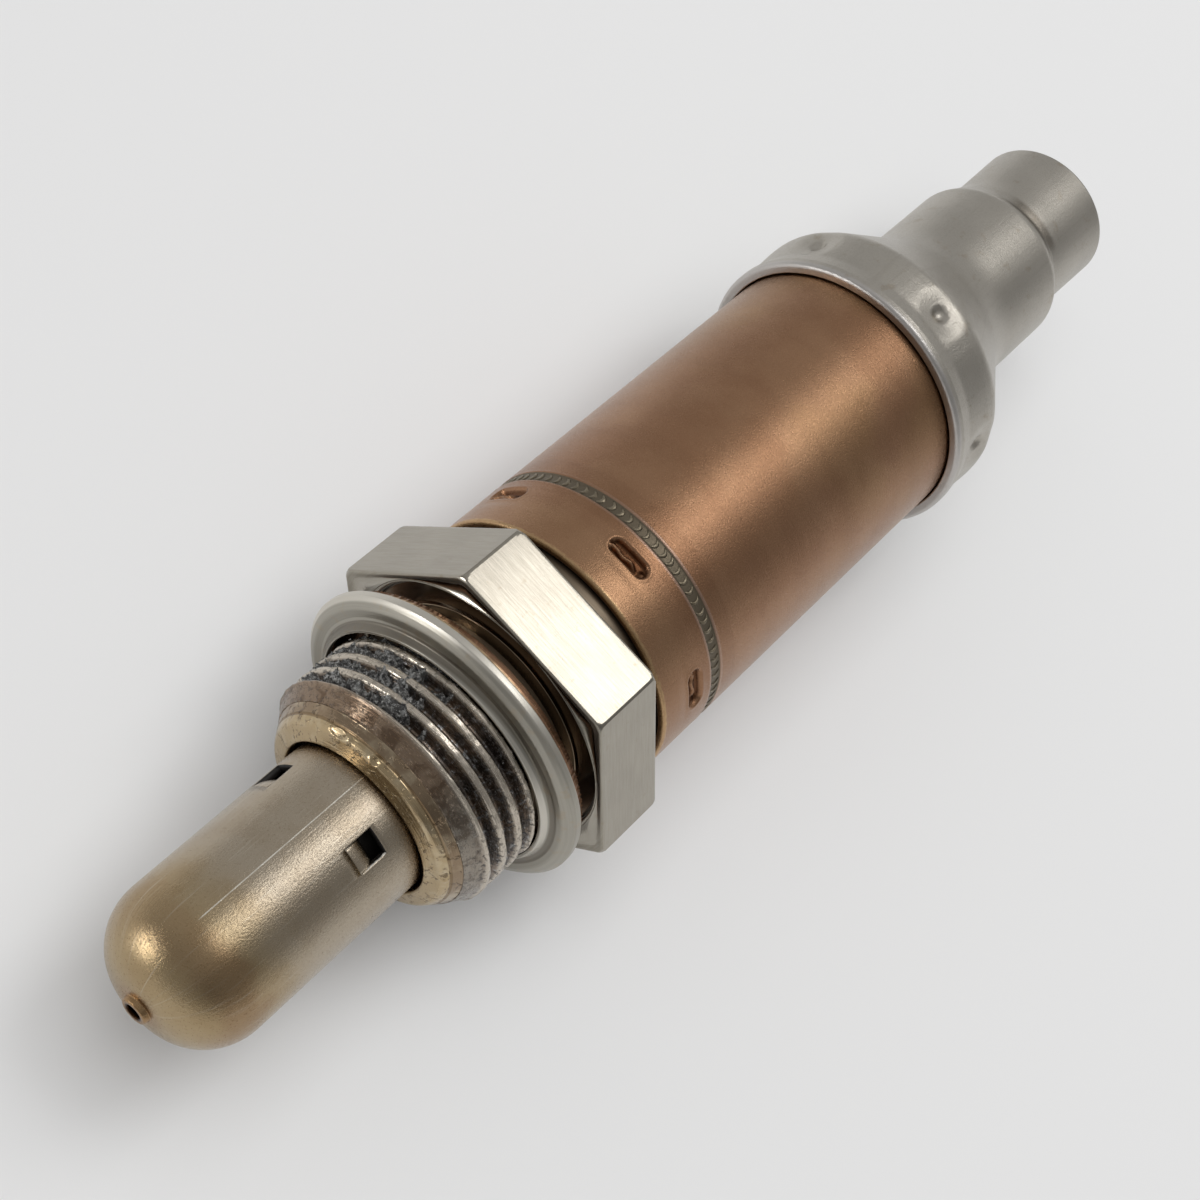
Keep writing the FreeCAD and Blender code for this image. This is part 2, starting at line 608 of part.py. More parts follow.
def make_heater_rod():
    """Ceramic heater rod from the thimble's tip back to its terminals."""
    body = new_body("heater_rod")
    revolve(body, [
        ("heater_back", "0"),
        ("heater_back", "heater_radius"),
        ("heater_front - heater_round", "heater_radius"),
        ("heater_front", "heater_radius - heater_round", "heater_round", 1),
        ("heater_front", "0"),
    ])
    return body


def make_support_tube():
    """Ceramic tube that presses the thimble on its seat, with a notch for the ground strip."""
    body = new_body("support_tube")
    revolve(body, [
        ("collar_rear", "support_head_radius"),
        ("collar_rear", "support_radius"),
        ("support_flange_front", "support_radius"),
        ("support_flange_front", "carrier_radius"),
        ("support_back", "carrier_radius"),
        ("support_back", "support_bore_radius"),
        ("support_step", "support_bore_radius"),
        ("support_step", "support_head_radius"),
    ])
    extrude(body, "XZ_Plane",
            box_outline("support_back", "support_flange_front",
                        "ground_radius - notch_play", "carrier_radius + notch_play"),
            "strip_width + 2 * notch_play", "Pocket", midplane=True)
    turn_to(body, "180")
    return body


def make_disc_spring():
    """Coned spring ring between the support tube's flange and the carrier."""
    body = new_body("disc_spring")
    revolve(body, [
        ("support_back", "spring_inner_radius"),
        ("carrier_front + spring_sheet", "spring_outer_radius"),
        ("carrier_front", "spring_outer_radius"),
        ("support_back - spring_sheet", "spring_inner_radius"),
    ])
    return body


def make_terminal_carrier():
    """Ceramic carrier with a bore for each crimp barrel."""
    body = new_body("terminal_carrier")
    revolve(body, box_outline("carrier_back", "carrier_front", "carrier_core_radius", "carrier_radius"))
    bore = extrude(body, "YZ_Plane", [("0", "terminal_pitch", "carrier_hole_radius")],
                   "carrier_front - carrier_back", "Pocket", height="carrier_front")
    around(body, bore, "4")
    return body


def strip_outline(front, radius, end_radius, foot=None):
    """A bent strip from its front end to its crimp barrel: along, across in the gap, and along."""
    inner_turn, outer_turn = "jog_station - strip_sheet / 2", "jog_station + strip_sheet / 2"
    if number(end_radius) < number(radius):
        inner_turn, outer_turn = outer_turn, inner_turn
    end = "barrel_front - barrel_wall"
    outline = [(front, radius), (inner_turn, radius), (inner_turn, end_radius), (end, end_radius),
               (end, f"{end_radius} + strip_sheet"), (outer_turn, f"{end_radius} + strip_sheet"),
               (outer_turn, f"{radius} + strip_sheet")]
    if foot:
        return outline + [(f"{front} - strip_sheet", f"{radius} + strip_sheet"),
                          (f"{front} - strip_sheet", f"{radius} + {foot}"),
                          (front, f"{radius} + {foot}")]
    return outline + [(front, f"{radius} + strip_sheet")]


def make_terminal(name, front, radius, end_radius, angle, foot=None):
    """A terminal bent from strip, with its crimp barrel in a bore of the carrier."""
    body = new_body(name)
    extrude(body, "XZ_Plane", strip_outline(front, radius, end_radius, foot), "strip_width",
            midplane=True)
    extrude(body, "YZ_Plane", [("0", "terminal_pitch", "barrel_radius")],
            "barrel_length", height="barrel_front", turned_round=True)
    extrude(body, "YZ_Plane", [("0", "terminal_pitch", "barrel_bore")],
            "barrel_length", "Pocket", height="barrel_front")
    turn_to(body, angle)
    return body


def make_clamp_ring():
    """Open spring ring that holds both heater strips on the rod."""
    body = new_body("clamp_ring")
    revolve(body, box_outline("clamp_front - clamp_length", "clamp_front",
                              "clamp_bore", "clamp_bore + clamp_wall"), sweep="clamp_sweep")
    return body


def make_protective_sleeve():
    """Drawn sleeve, crimped and welded on the body's collar, with a narrower end inside the cap."""
    body = new_body("protective_sleeve")
    revolve(body, [
        ("sleeve_front", "sleeve_bore"),
        ("sleeve_front", "sleeve_radius"),
        ("seam_front", "sleeve_radius"),
        ("seam_front - seam_depth", "sleeve_radius - seam_depth"),
        ("seam_back + seam_depth", "sleeve_radius - seam_depth"),
        ("seam_back", "sleeve_radius"),
        ("sleeve_neck_front + sleeve_neck_slope", "sleeve_radius"),
        ("sleeve_neck_front", "sleeve_neck_radius"),
        ("sleeve_back + sleeve_round", "sleeve_neck_radius"),
        ("sleeve_back", "sleeve_neck_radius - sleeve_round", "sleeve_round", -1),
        ("sleeve_back", "sleeve_hole_radius"),
        ("sleeve_floor", "sleeve_hole_radius"),
        ("sleeve_floor", "sleeve_neck_bore"),
        ("sleeve_neck_front", "sleeve_neck_bore"),
        ("sleeve_neck_front + sleeve_neck_slope", "sleeve_bore"),
    ])
    belly = extrude(body, "XY_Plane", slot_outline("dent_place", "dent_width", "dent_length"),
                    "sleeve_radius - dent_depth / 2 - dent_belly", height="dent_belly")
    around(body, belly, "dent_count")
    dent = extrude(body, "XY_Plane", slot_outline("dent_place", "dent_width", "dent_length"),
                   "dent_depth + sleeve_wall", "Pocket", height="sleeve_radius + sleeve_wall")
    around(body, dent, "dent_count")
    turn_to(body, "dent_angle")
    return body


def make_end_cap():
    """Drawn cap over the sleeve's end: rim, swelling with dimples, shoulder, neck and crimped spout."""
    body = new_body("end_cap")
    turned = revolve(body, [
        ("cap_front", "cap_rim_radius - cap_rim_round"),
        ("cap_front - cap_rim_round", "cap_rim_radius", "cap_rim_round", -1),
        ("cap_front - cap_rim_length", "cap_rim_radius"),
        ("waist", "cap_waist_radius"),
        ("crown_front", "cap_crown_radius"),
        ("shoulder_front", "cap_crown_radius"),
        ("neck_front", "neck_radius"),
        ("neck_back", "neck_radius"),
        ("crease", "crease_radius"),
        ("spout_back + spout_round", "spout_radius"),
        ("spout_back", "spout_radius - spout_round", "spout_round", -1),
        ("spout_back", "spout_radius - cap_wall"),
        ("crease + crease_shift", "crease_radius - cap_wall"),
        ("neck_back + crease_shift", "neck_radius - cap_wall"),
        ("neck_front + shoulder_shift", "neck_radius - cap_wall"),
        ("shoulder_front + shoulder_shift", "cap_crown_radius - cap_wall"),
        ("crown_front", "cap_crown_radius - cap_wall"),
        ("waist", "cap_waist_radius - cap_wall"),
        ("cap_front - cap_rim_length", "cap_rim_radius - cap_wall"),
        ("cap_front", "cap_rim_radius - cap_wall"),
    ])
    base = turned
    for station, radius, rounding in (
            ("shoulder_front", "cap_crown_radius", "shoulder_round"),
            ("shoulder_front + shoulder_shift", "cap_crown_radius - cap_wall", "shoulder_round - cap_wall"),
            ("neck_front", "neck_radius", "neck_round"),
            ("neck_front + shoulder_shift", "neck_radius - cap_wall", "neck_round + cap_wall"),
            ("neck_back", "neck_radius", "crease_round"),
            ("crease", "crease_radius", "crease_round")):
        base = round_edges(body, base, rounding, at_ring(station, radius))
    belly = extrude(body, "XY_Plane", [("dimple_place", "0", "dimple_radius")],
                    "(cap_crown_radius + dimple_floor) / 2 - dimple_belly", height="dimple_belly")
    around(body, belly, "dimple_count")
    dimple = extrude(body, "XY_Plane", [("dimple_place", "0", "dimple_radius")],
                     "cap_crown_radius + cap_wall - dimple_floor", "Pocket",
                     height="cap_crown_radius + cap_wall")
    around(body, dimple, "dimple_count")
    turn_to(body, "dimple_angle")
    return body


def make_cable_grommet():
    """Plug in the cap's neck and spout, with a bore for each lead."""
    body = new_body("cable_grommet")
    revolve(body, [
        ("grommet_front", "0"),
        ("grommet_front", "neck_radius - cap_wall - grommet_play"),
        ("neck_back + crease_shift", "neck_radius - cap_wall - grommet_play"),
        ("crease + crease_shift", "crease_radius - cap_wall - grommet_play"),
        ("grommet_back", "crease_radius - cap_wall - grommet_play"),
        ("grommet_back", "0"),
    ])
    bore = extrude(body, "YZ_Plane", [("0", "lead_bore_pitch", "lead_bore_radius")],
                   "grommet_front - grommet_back", "Pocket", height="grommet_front")
    around(body, bore, "4")
    return body


def check(part):
    """Stops if an object failed or a sub-part is not one sound solid."""
    for item in doc.Objects:
        if "Invalid" in item.State or "Error" in item.State:
            raise RuntimeError(f"{item.Label} failed: {item.State}")
    shape = part.Shape
    if shape.isNull() or not shape.isValid() or len(shape.Solids) != 1:
        raise RuntimeError(f"{part.Label} is not one sound solid")


def main():
    """Builds every sub-part, checks it and writes it."""
    parts = [
        make_sensor_body(),
        make_gasket_ring(),
        make_protection_tube(),
        make_zirconia_thimble(),
        make_seat_ring(),
        make_contact_bush(),
        make_heater_rod(),
        make_support_tube(),
        make_disc_spring(),
        make_terminal_carrier(),
        make_terminal("heater_terminal_right", "heater_strip_front", "heater_strip_radius",
                      "barrel_inner_strip", "90"),
        make_terminal("heater_terminal_left", "heater_strip_front", "heater_strip_radius",
                      "barrel_inner_strip", "-90"),
        make_terminal("signal_terminal", "contact_back", "signal_radius", "barrel_inner_strip", "0"),
        make_terminal("ground_terminal", "collar_back", "ground_radius", "barrel_outer_strip", "180",
                      "ground_foot"),
        make_clamp_ring(),
        make_protective_sleeve(),
        make_end_cap(),
        make_cable_grommet(),
    ]
    doc.recompute()
    for part in parts:
        check(part)
    os.makedirs("parts", exist_ok=True)
    for part in parts:
        part.Shape.exportStep(f"parts/{part.Label}.step")
        print(f"{part.Label}: {part.Shape.Volume:.1f} mm3")


main()
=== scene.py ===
import math

import bmesh
import bpy
import numpy as np
from mathutils import Matrix, Vector


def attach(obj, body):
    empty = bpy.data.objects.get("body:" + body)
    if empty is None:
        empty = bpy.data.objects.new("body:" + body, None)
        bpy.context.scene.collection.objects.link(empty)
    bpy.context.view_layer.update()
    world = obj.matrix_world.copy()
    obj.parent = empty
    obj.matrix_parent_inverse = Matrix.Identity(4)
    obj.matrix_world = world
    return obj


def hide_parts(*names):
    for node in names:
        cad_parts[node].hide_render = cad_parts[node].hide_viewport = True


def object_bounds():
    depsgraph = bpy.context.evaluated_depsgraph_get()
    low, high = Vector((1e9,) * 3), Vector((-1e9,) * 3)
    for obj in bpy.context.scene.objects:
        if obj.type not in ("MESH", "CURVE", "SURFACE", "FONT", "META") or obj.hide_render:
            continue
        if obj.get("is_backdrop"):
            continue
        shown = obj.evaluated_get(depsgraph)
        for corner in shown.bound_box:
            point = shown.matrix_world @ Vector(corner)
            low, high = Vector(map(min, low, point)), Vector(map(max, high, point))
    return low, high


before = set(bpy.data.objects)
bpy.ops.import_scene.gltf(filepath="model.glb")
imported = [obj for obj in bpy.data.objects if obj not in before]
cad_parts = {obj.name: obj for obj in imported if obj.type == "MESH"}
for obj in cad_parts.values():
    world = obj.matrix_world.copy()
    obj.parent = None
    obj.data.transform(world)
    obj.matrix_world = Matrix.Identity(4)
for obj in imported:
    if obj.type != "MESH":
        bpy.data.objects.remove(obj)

# Heated oxygen sensor, lying on its side. +X runs forwards to the tip, +Z is square to a flat
# of the hexagon. Profiles are lists of corners (station, radius) in millimetres.

bl_info = {
    "name": "Oxygen Sensor Parts",
    "version": (1, 0, 0),
    "blender": (4, 5, 0),
    "location": "View3D > Sidebar > Sensor",
    "description": "Builds the visible pieces of a heated oxygen sensor over its solid model",
    "category": "Object",
}

MM = 0.001
BODY = "root"
FULL_TURN = 2 * math.pi

COARSE = 9.0  # mm between rows of a skin that nothing is pressed into or that is out of sight
MERGED = 0.02  # degrees within which two angles of a ring count as one

# The camera was matched to the photograph by the hexagon's corners, the rims and both ends.
EYE = (59.63, 4.30, 123.01)
CAMERA_SIDE = (-0.63603, 0.67496, 0.37402)
CAMERA_UP = (-0.56089, -0.73725, 0.37664)
FRAME_WIDTH = 36.0  # mm

FLOOR_HALF = 3.0  # metres


def length(name, size, description):
    """A size in millimetres as a length property."""
    return bpy.props.FloatProperty(name=name, description=description, default=size * MM,
                                   unit="LENGTH", subtype="DISTANCE", precision=6)


def amount(name, size, description):
    """A plain number as a property."""
    return bpy.props.FloatProperty(name=name, description=description, default=size, precision=4)


def angle(name, degrees, description):
    """An angle in degrees as an angle property."""
    return bpy.props.FloatProperty(name=name, description=description, unit="ROTATION",
                                   subtype="ANGLE", default=math.radians(degrees))


def count(name, number, description):
    """A number of like things as a property."""
    return bpy.props.IntProperty(name=name, description=description, default=number, min=1)


def colour(name, value, description):
    """A linear colour as a property."""
    return bpy.props.FloatVectorProperty(name=name, description=description, default=value,
                                         subtype="COLOR", size=3, min=0.0, max=1.0)


class BodySizes(bpy.types.PropertyGroup):
    """Sizes of the hexagon, the thread and the crimped lip."""
    hex_flats: length("Across flats", 22.0, "Hexagon across its flats")
    hex_front: length("Hexagon front", -4.1, "Station of the hexagon's front face")
    hex_back: length("Hexagon back", -9.7, "Station of the hexagon's rear face")
    corner_radius: length("Corner radius", 12.645, "Turned outside of the hexagon's corners")
    corner_round: length("Corner rounding", 0.2, "Rounding of the hexagon's six corners")
    thread_crest: length("Thread crest", 9.0, "Outside radius of the thread")
    thread_root: length("Thread root", 8.08, "Radius at the bottom of the thread")
    thread_pitch: length("Thread pitch", 1.5, "Crest to crest along the thread")
    thread_phase: length("Crest station", 3.17, "Station of a crest at the phase angle")
    thread_angle: angle("Phase angle", 12.0, "Angle from the top at which that crest stands")
    thread_runout: length("Run-out", 0.75, "Length over which the thread fades at each end")
    land_radius: length("Land radius", 8.85, "Radius where the smooth first turn begins")
    land_station: length("Land station", 4.72, "Station where the smooth first turn begins")


class GasketSizes(bpy.types.PropertyGroup):
    """Sizes of the folded gasket ring."""
    rib_count: count("Ribs", 200, "Fine folds round the rear leaf")
    rib_jitter: angle("Rib spread", 0.5, "Uneven spacing of those folds")
    seed: count("Seed", 7, "Seed of the uneven spacing")
    lean: amount("Lean", 0.026, "How far the loose ring leans, as a slope")
    shift: length("Shift", 0.2, "How far the loose ring sits off the axis")


class PasteSizes(bpy.types.PropertyGroup):
    """Sizes of the assembly paste left in the thread."""
    level: length("Level", 8.60, "Radius that the paste fills the thread to")
    lump: length("Lumps", 0.42, "Height of the thicker lumps")
    middle: angle("Middle", -76.0, "Angle from the top at which the paste is thickest")
    seed: amount("Seed", 3.0, "Seed of the lumps")


class TubeSizes(bpy.types.PropertyGroup):
    """Sizes of the protection tube and its louvres."""
    radius: length("Radius", 5.68, "Outside of the tube")
    wall: length("Wall", 0.5, "Sheet of the tube")
    front: length("Front", 25.35, "Station of the dome's front")
    dome_round: length("Dome rounding", 4.5, "Rounding of the dome")
    louvre_front: length("Louvre front", 11.4, "Station of a louvre's hinge")
    louvre_back: length("Louvre back", 9.2, "Station of a louvre's free end")
    louvre_width: length("Louvre width", 2.0, "Louvre across the tube")
    louvre_dip: length("Louvre dip", 0.48, "How far the free end is pressed in")
    louvre_flap: length("Louvre flap", 1.33, "Length of a louvre's flap from its hinge")
    louvre_count: count("Louvres", 4, "Louvres round the tube")
    louvre_angle: angle("Louvre angle", 23.0, "First louvre from the top")


class SleeveSizes(bpy.types.PropertyGroup):
    """Sizes of the copper-brown sleeve."""
    radius: length("Radius", 10.5, "Outside of the sleeve")
    dent_count: count("Dents", 6, "Crimp dents round the sleeve")
    dent_station: length("Dent station", -14.6, "Station of the dents")
    dent_length: length("Dent length", 3.5, "Dent round the sleeve")
    dent_width: length("Dent width", 1.4, "Dent along the sleeve")
    dent_depth: length("Dent depth", 0.5, "Dent into the sleeve")
    dent_angle: angle("Dent angle", -2.5, "First dent from the top")
    seam_station: length("Seam station", -16.77, "Middle of the welded seam")
    seam_width: length("Seam width", 1.02, "Seam along the sleeve")
    ripple_count: count("Ripples", 84, "Weld ripples round the seam")
    ripple_jitter: angle("Ripple spread", 0.5, "Uneven spacing of the ripples")
    seed: count("Seed", 11, "Seed of the uneven spacing")


class CapSizes(bpy.types.PropertyGroup):
    """Sizes of the end cap."""
    dimple_count: count("Dimples", 6, "Dimples round the cap")
    dimple_station: length("Dimple station", -48.65, "Station of the dimples")
    dimple_radius: length("Dimple radius", 0.82, "Radius of a dimple's hole")
    dimple_depth: length("Dimple depth", 0.28, "Depth of a dimple's hole")
    hollow_radius: length("Hollow radius", 2.35, "Radius of the hollow round a dimple")
    hollow_depth: length("Hollow depth", 0.40, "Depth of that hollow")
    dimple_angle: angle("Dimple angle", 6.0, "First dimple from the top")


class Finishes(bpy.types.PropertyGroup):
    """Colours of the finishes."""
    nickel: colour("Nickel plate", (0.39, 0.360, 0.305), "Hexagon")
    thread: colour("Thread crests", (0.56, 0.50, 0.42), "Bright crests of the thread")
    groove: colour("Thread grooves", (0.10, 0.085, 0.075), "Dark bottoms of the thread")
    lip: colour("Lip", (0.47, 0.36, 0.215), "Heat-tinted crimped lip")
    paste: colour("Paste", (0.125, 0.122, 0.118), "Dried assembly paste")
    gasket: colour("Gasket", (0.42, 0.395, 0.34), "Front leaf of the gasket")
    fold: colour("Gasket fold", (0.33, 0.185, 0.11), "Rear leaf of the gasket")
    tube: colour("Tube", (0.435, 0.37, 0.285), "Protection tube")
    dome: colour("Dome", (0.41, 0.31, 0.18), "Golden tint of the dome")
    sleeve: colour("Sleeve", (0.355, 0.200, 0.115), "Copper-brown sleeve")
    seam: colour("Seam", (0.23, 0.19, 0.135), "Oxidised weld seam")
    cap: colour("Cap", (0.465, 0.435, 0.385), "End cap")
    ceramic: colour("Ceramic", (0.78, 0.75, 0.68), "Ceramic pieces inside")
    contact: colour("Contacts", (0.60, 0.58, 0.53), "Contact strips inside")
    grommet: colour("Grommet", (0.055, 0.05, 0.047), "Cable grommet")


class StageSizes(bpy.types.PropertyGroup):
    """Light levels and the floor of the stage."""
    lens: amount("Lens", 62.67, "Focal length in millimetres on a 36 mm frame")
    floor: colour("Floor", (0.85, 0.85, 0.85), "Plain pale floor")
    surround: amount("Surround", 0.5, "Light level of the surroundings")
    key: amount("Key light", 3.2, "Radiance of the softbox above")
    front: amount("Front light", 13.0, "Radiance of the small softbox in front")
    fill: amount("Fill light", 1.5, "Radiance of the wide light above")


# Profiles and turned skins ------------------------------------------------------------------


def trace(corners, closed=True, step=None, arcs=5):
    """Rounds the corners (station, radius, rounding) into a profile's (station, radius, finish).

    step gives the distance between rows at a place, and a profile that isn't closed keeps its
    two ends. The finish is 0 all along.
    """
    longest = 0.46  # share of a straight run that an arc at one of its ends may take
    nearest = 0.25  # share of what is left that the row next to an arc may take
    stretch = 1.35  # steps that the last gap of a run may have
    points = []
    for index, corner in enumerate(corners):
        here = np.array(corner[:2], float)
        rounding = corner[2] if len(corner) > 2 else 0.0
        run = [here]
        if rounding > 0 and (closed or 0 < index < len(corners) - 1):
            back = np.array(corners[index - 1][:2], float) - here
            ahead = np.array(corners[(index + 1) % len(corners)][:2], float) - here
            back_length, ahead_length = np.hypot(*back), np.hypot(*ahead)
            back, ahead = back / back_length, ahead / ahead_length
            half = math.acos(max(-1.0, min(1.0, float(back @ ahead)))) / 2
            if half < math.pi / 2 - 0.01:
                reach = min(rounding / math.tan(half), longest * back_length,
                            longest * ahead_length)
                middle = back + ahead
                centre = here + middle / np.hypot(*middle) * reach / math.cos(half)
                start = here + back * reach - centre
                sweep = math.pi - 2 * half
                if start[0] * ahead[1] - start[1] * ahead[0] < 0:
                    sweep = -sweep
                turns = [sweep * k / arcs for k in range(arcs + 1)]
                run = [centre + (start[0] * math.cos(a) - start[1] * math.sin(a),
                                 start[0] * math.sin(a) + start[1] * math.cos(a)) for a in turns]
                lead = min(rounding * 0.4, nearest * (back_length - reach),
                           nearest * (ahead_length - reach))
                run = [here + back * (reach + lead)] + run + [here + ahead * (reach + lead)]
        points += [(point[0], point[1], 0) for point in run]
    if step is None:
        return points
    finer = []
    for index, point in enumerate(points):
        finer.append(point)
        if not closed and index == len(points) - 1:
            break
        here, after = np.array(point[:2]), np.array(points[(index + 1) % len(points)][:2])
        way = after - here
        whole = np.hypot(*way)
        done = 0.0
        while True:
            place = here + way * (done / whole if whole else 0.0)
            size = step(place[0], place[1])
            near = place + way * (size / whole if whole else 0.0)
            size = min(size, step(near[0], near[1]) + 0.5 * size)
            if whole - done <= stretch * size:
                break
            done += size
            place = here + way * (done / whole)
            finer.append((place[0], place[1], 0))
    return finer


def ring_angles(total, middles=(), reach=0.0, fine=0.0):
    """Even angles in degrees, with finer ones within reach of each middle."""
    angles = set(np.round(np.arange(total) * 360.0 / total, 4))
    for middle in middles:
        for offset in np.arange(-reach, reach + fine / 2, fine):
            angles.add(round(float((middle + offset) % 360.0), 4))
    kept = []
    for turn in sorted(angles):
        if not kept or turn - kept[-1] > MERGED:
            kept.append(turn)
    return np.array(kept)


def wrapped(turn):
    """Degrees brought to -180...180."""
    return (turn + 180.0) % 360.0 - 180.0


def unit(value):
    """Values held between 0 and 1."""
    return np.clip(value, 0, 1)


def eased(value):
    """A value of 0...1 with soft ends."""
    return value ** 2 * (3 - 2 * value)


def bell(*offsets):
    """1 in the middle, fading smoothly over about one unit of each offset."""
    return np.exp(-sum(offset ** 2 for offset in offsets))


def spaced(first, number):
    """Middles, in degrees, of like features round the axis, from the first one's radians."""
    return [math.degrees(first) + 360.0 * k / number for k in range(number)]


def in_mm(sizes, *names):
    """Lengths of a property group in millimetres."""
    return [getattr(sizes, name) / MM for name in names]


def toned(tint, *factors):
    """A colour made darker or lighter by one factor, or by one for each channel."""
    return tuple(c * f for c, f in zip(tint, factors * 3 if len(factors) == 1 else factors))


def loft_faces(rings, size):
    """Faces of a closed body lofted through rings of points, its two ends last."""
    faces = [(c * size + k, c * size + (k + 1) % size, (c + 1) * size + (k + 1) % size,
              (c + 1) * size + k) for c in range(rings - 1) for k in range(size)]
    return faces + [tuple(range(size)), tuple(range((rings - 1) * size, rings * size))]


def new_piece(name, points, faces, finishes=None, materials=()):
    """An object at the origin from points in millimetres, its faces turned outwards."""
    mesh = bpy.data.meshes.new(name)
    mesh.from_pydata((np.asarray(points, float) * MM).tolist(), [], faces)
    for material in materials:
        mesh.materials.append(material)
    if finishes is not None:
        mesh.polygons.foreach_set("material_index", np.asarray(finishes, dtype=np.int32))
    mesh.polygons.foreach_set("use_smooth", np.full(len(mesh.polygons), True))
    piece = bpy.data.objects.new(name, mesh)
    bpy.context.scene.collection.objects.link(piece)
    work = bmesh.new()
    work.from_mesh(mesh)
    bmesh.ops.recalc_face_normals(work, faces=work.faces)
    work.to_mesh(mesh)
    work.free()
    mesh.update()
    return piece


def turned(name, profile, angles, materials, warp=None, drop=None):
    """A closed skin turned about the X axis from a closed profile.

    warp(station, radius, turn) moves its points, and drop(profile, angles) says which faces go
    and gives the faces and finishes that close the openings.
    """
    rows, columns = len(profile), len(angles)
    station, radius, finishes = (np.repeat(np.array(values)[:, None], columns, 1)
                                 for values in zip(*profile))
    turn = np.repeat(np.asarray(angles, float)[None, :], rows, 0)
    if warp is not None:
        station, radius = warp(station, radius, turn)
    turns = np.radians(turn)
    points = np.stack([station, radius * np.sin(turns), radius * np.cos(turns)], -1).reshape(-1, 3)
    row, column = np.meshgrid(np.arange(rows), np.arange(columns), indexing="ij")
    next_row, next_column = (row + 1) % rows, (column + 1) % columns
    quads = np.stack([row * columns + column, row * columns + next_column,
                      next_row * columns + next_column, next_row * columns + column], -1)
    faces, marks = quads.reshape(-1, 4), finishes.reshape(-1)
    extra, extra_marks = [], []
    if drop is not None:
        gone, extra, extra_marks = drop(profile, angles)
        faces, marks = faces[~gone.reshape(-1)], marks[~gone.reshape(-1)]
    faces = faces.tolist() + extra
    marks = np.concatenate([marks, np.array(extra_marks, dtype=marks.dtype)])
    return new_piece(name, points, faces, marks, materials)


def settle(piece):
    """Turns the evaluated result of a piece's modifiers into its plain mesh."""
    depsgraph = bpy.context.evaluated_depsgraph_get()
    result = bpy.data.meshes.new_from_object(piece.evaluated_get(depsgraph))
    before = piece.data
    piece.modifiers.clear()
    piece.data = result
    result.name = piece.name
    bpy.data.meshes.remove(before)
    if not result.polygons:
        raise RuntimeError(f"{piece.name} came out empty")


def belongs(piece, node):
    """Hands a piece to the frame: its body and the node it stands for."""
    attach(piece, BODY)
    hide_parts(node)


# Node trees ---------------------------------------------------------------------------------


class Graph:
    """Adds nodes to a shader tree or a geometry tree and links them."""

    def __init__(self, tree, material=None):
        self.tree, self.material = tree, material

    def feed(self, socket, value):
        """Links an output to a socket, or sets the socket's own value."""
        if isinstance(value, bpy.types.NodeSocket):
            self.tree.links.new(value, socket)
        elif value is not None:
            socket.default_value = value

    def add(self, kind, *values, named=None, take=0, **settings):
        """Adds a node, feeds its inputs in order and by name, and gives one of its outputs."""
        node = self.tree.nodes.new(kind)
        for key, value in settings.items():
            setattr(node, key, value)
        for index, value in enumerate(values):
            self.feed(node.inputs[index], value)
        for key, value in (named or {}).items():
            self.feed(node.inputs[key], value)
        return node.outputs[take] if take is not None and node.outputs else node

    def math(self, operation, *values):
        return self.add("ShaderNodeMath", *values, operation=operation)

    def plus(self, *values):
        total = values[0]
        for value in values[1:]:
            total = self.math("ADD", total, value)
        return total

    def times(self, *values):
        total = values[0]
        for value in values[1:]:
            total = self.math("MULTIPLY", total, value)
        return total

    def minus(self, value, other):
        return self.math("SUBTRACT", value, other)

    def over(self, value, other):
        return self.math("DIVIDE", value, other)

    def between(self, low, high, factor):
        """From low to high as the factor goes from 0 to 1."""
        return self.plus(low, self.times(self.minus(high, low), factor))

    def join(self, x=0.0, y=0.0, z=0.0):
        return self.add("ShaderNodeCombineXYZ", x, y, z)

    def split(self, vector):
        return self.add("ShaderNodeSeparateXYZ", vector, take=None).outputs

    def rescale(self, value, low, high, to_low=0.0, to_high=1.0, smooth=False):
        return self.add("ShaderNodeMapRange", value, low, high, to_low, to_high,
                        interpolation_type="SMOOTHSTEP" if smooth else "LINEAR")

    def fade(self, value, start, end, *levels):
        """From 0 at start to 1 at end, or between two other levels, with soft ends."""
        return self.rescale(value, start, end, *levels, smooth=True)

    def band(self, value, low, high, edge):
        """1 between low and high, fading over edge outside them."""
        return self.times(self.fade(value, low - edge, low),
                          self.fade(value, high, high + edge, 1.0, 0.0))

    def noise(self, vector, scale=1.0, detail=2.0, roughness=0.5, distortion=0.0):
        return self.add("ShaderNodeTexNoise", named={
            "Vector": vector, "Scale": scale, "Detail": detail, "Roughness": roughness,
            "Distortion": distortion})

    def spread(self, noise, low, high):
        """The usual range of a noise spread over low...high."""
        return self.rescale(noise, 0.3, 0.7, low, high)

    def mix(self, factor, low, high, blend="MIX"):
        """A colour that goes from low to high with the factor."""
        node = self.add("ShaderNodeMix", take=None, data_type="RGBA", blend_type=blend)
        self.feed(node.inputs[0], factor)
        self.feed(node.inputs[6], self.opaque(low))
        self.feed(node.inputs[7], self.opaque(high))
        return node.outputs[2]

    def lay(self, tint, colour, *masks):
        """Lays a colour over a tint as far as the product of the masks says."""
        return self.mix(self.times(*masks), tint, colour)

    def stain(self, tint, colour, *masks):
        """Multiplies a tint by a colour as far as the product of the masks says."""
        return self.mix(self.times(*masks), tint, colour, "MULTIPLY")

    @staticmethod
    def opaque(value):
        """A colour with its alpha, from a socket, a number or three numbers."""
        if isinstance(value, bpy.types.NodeSocket):
            return value
        if isinstance(value, (int, float)):
            value = (value, value, value)
        return (value[0], value[1], value[2], 1.0)


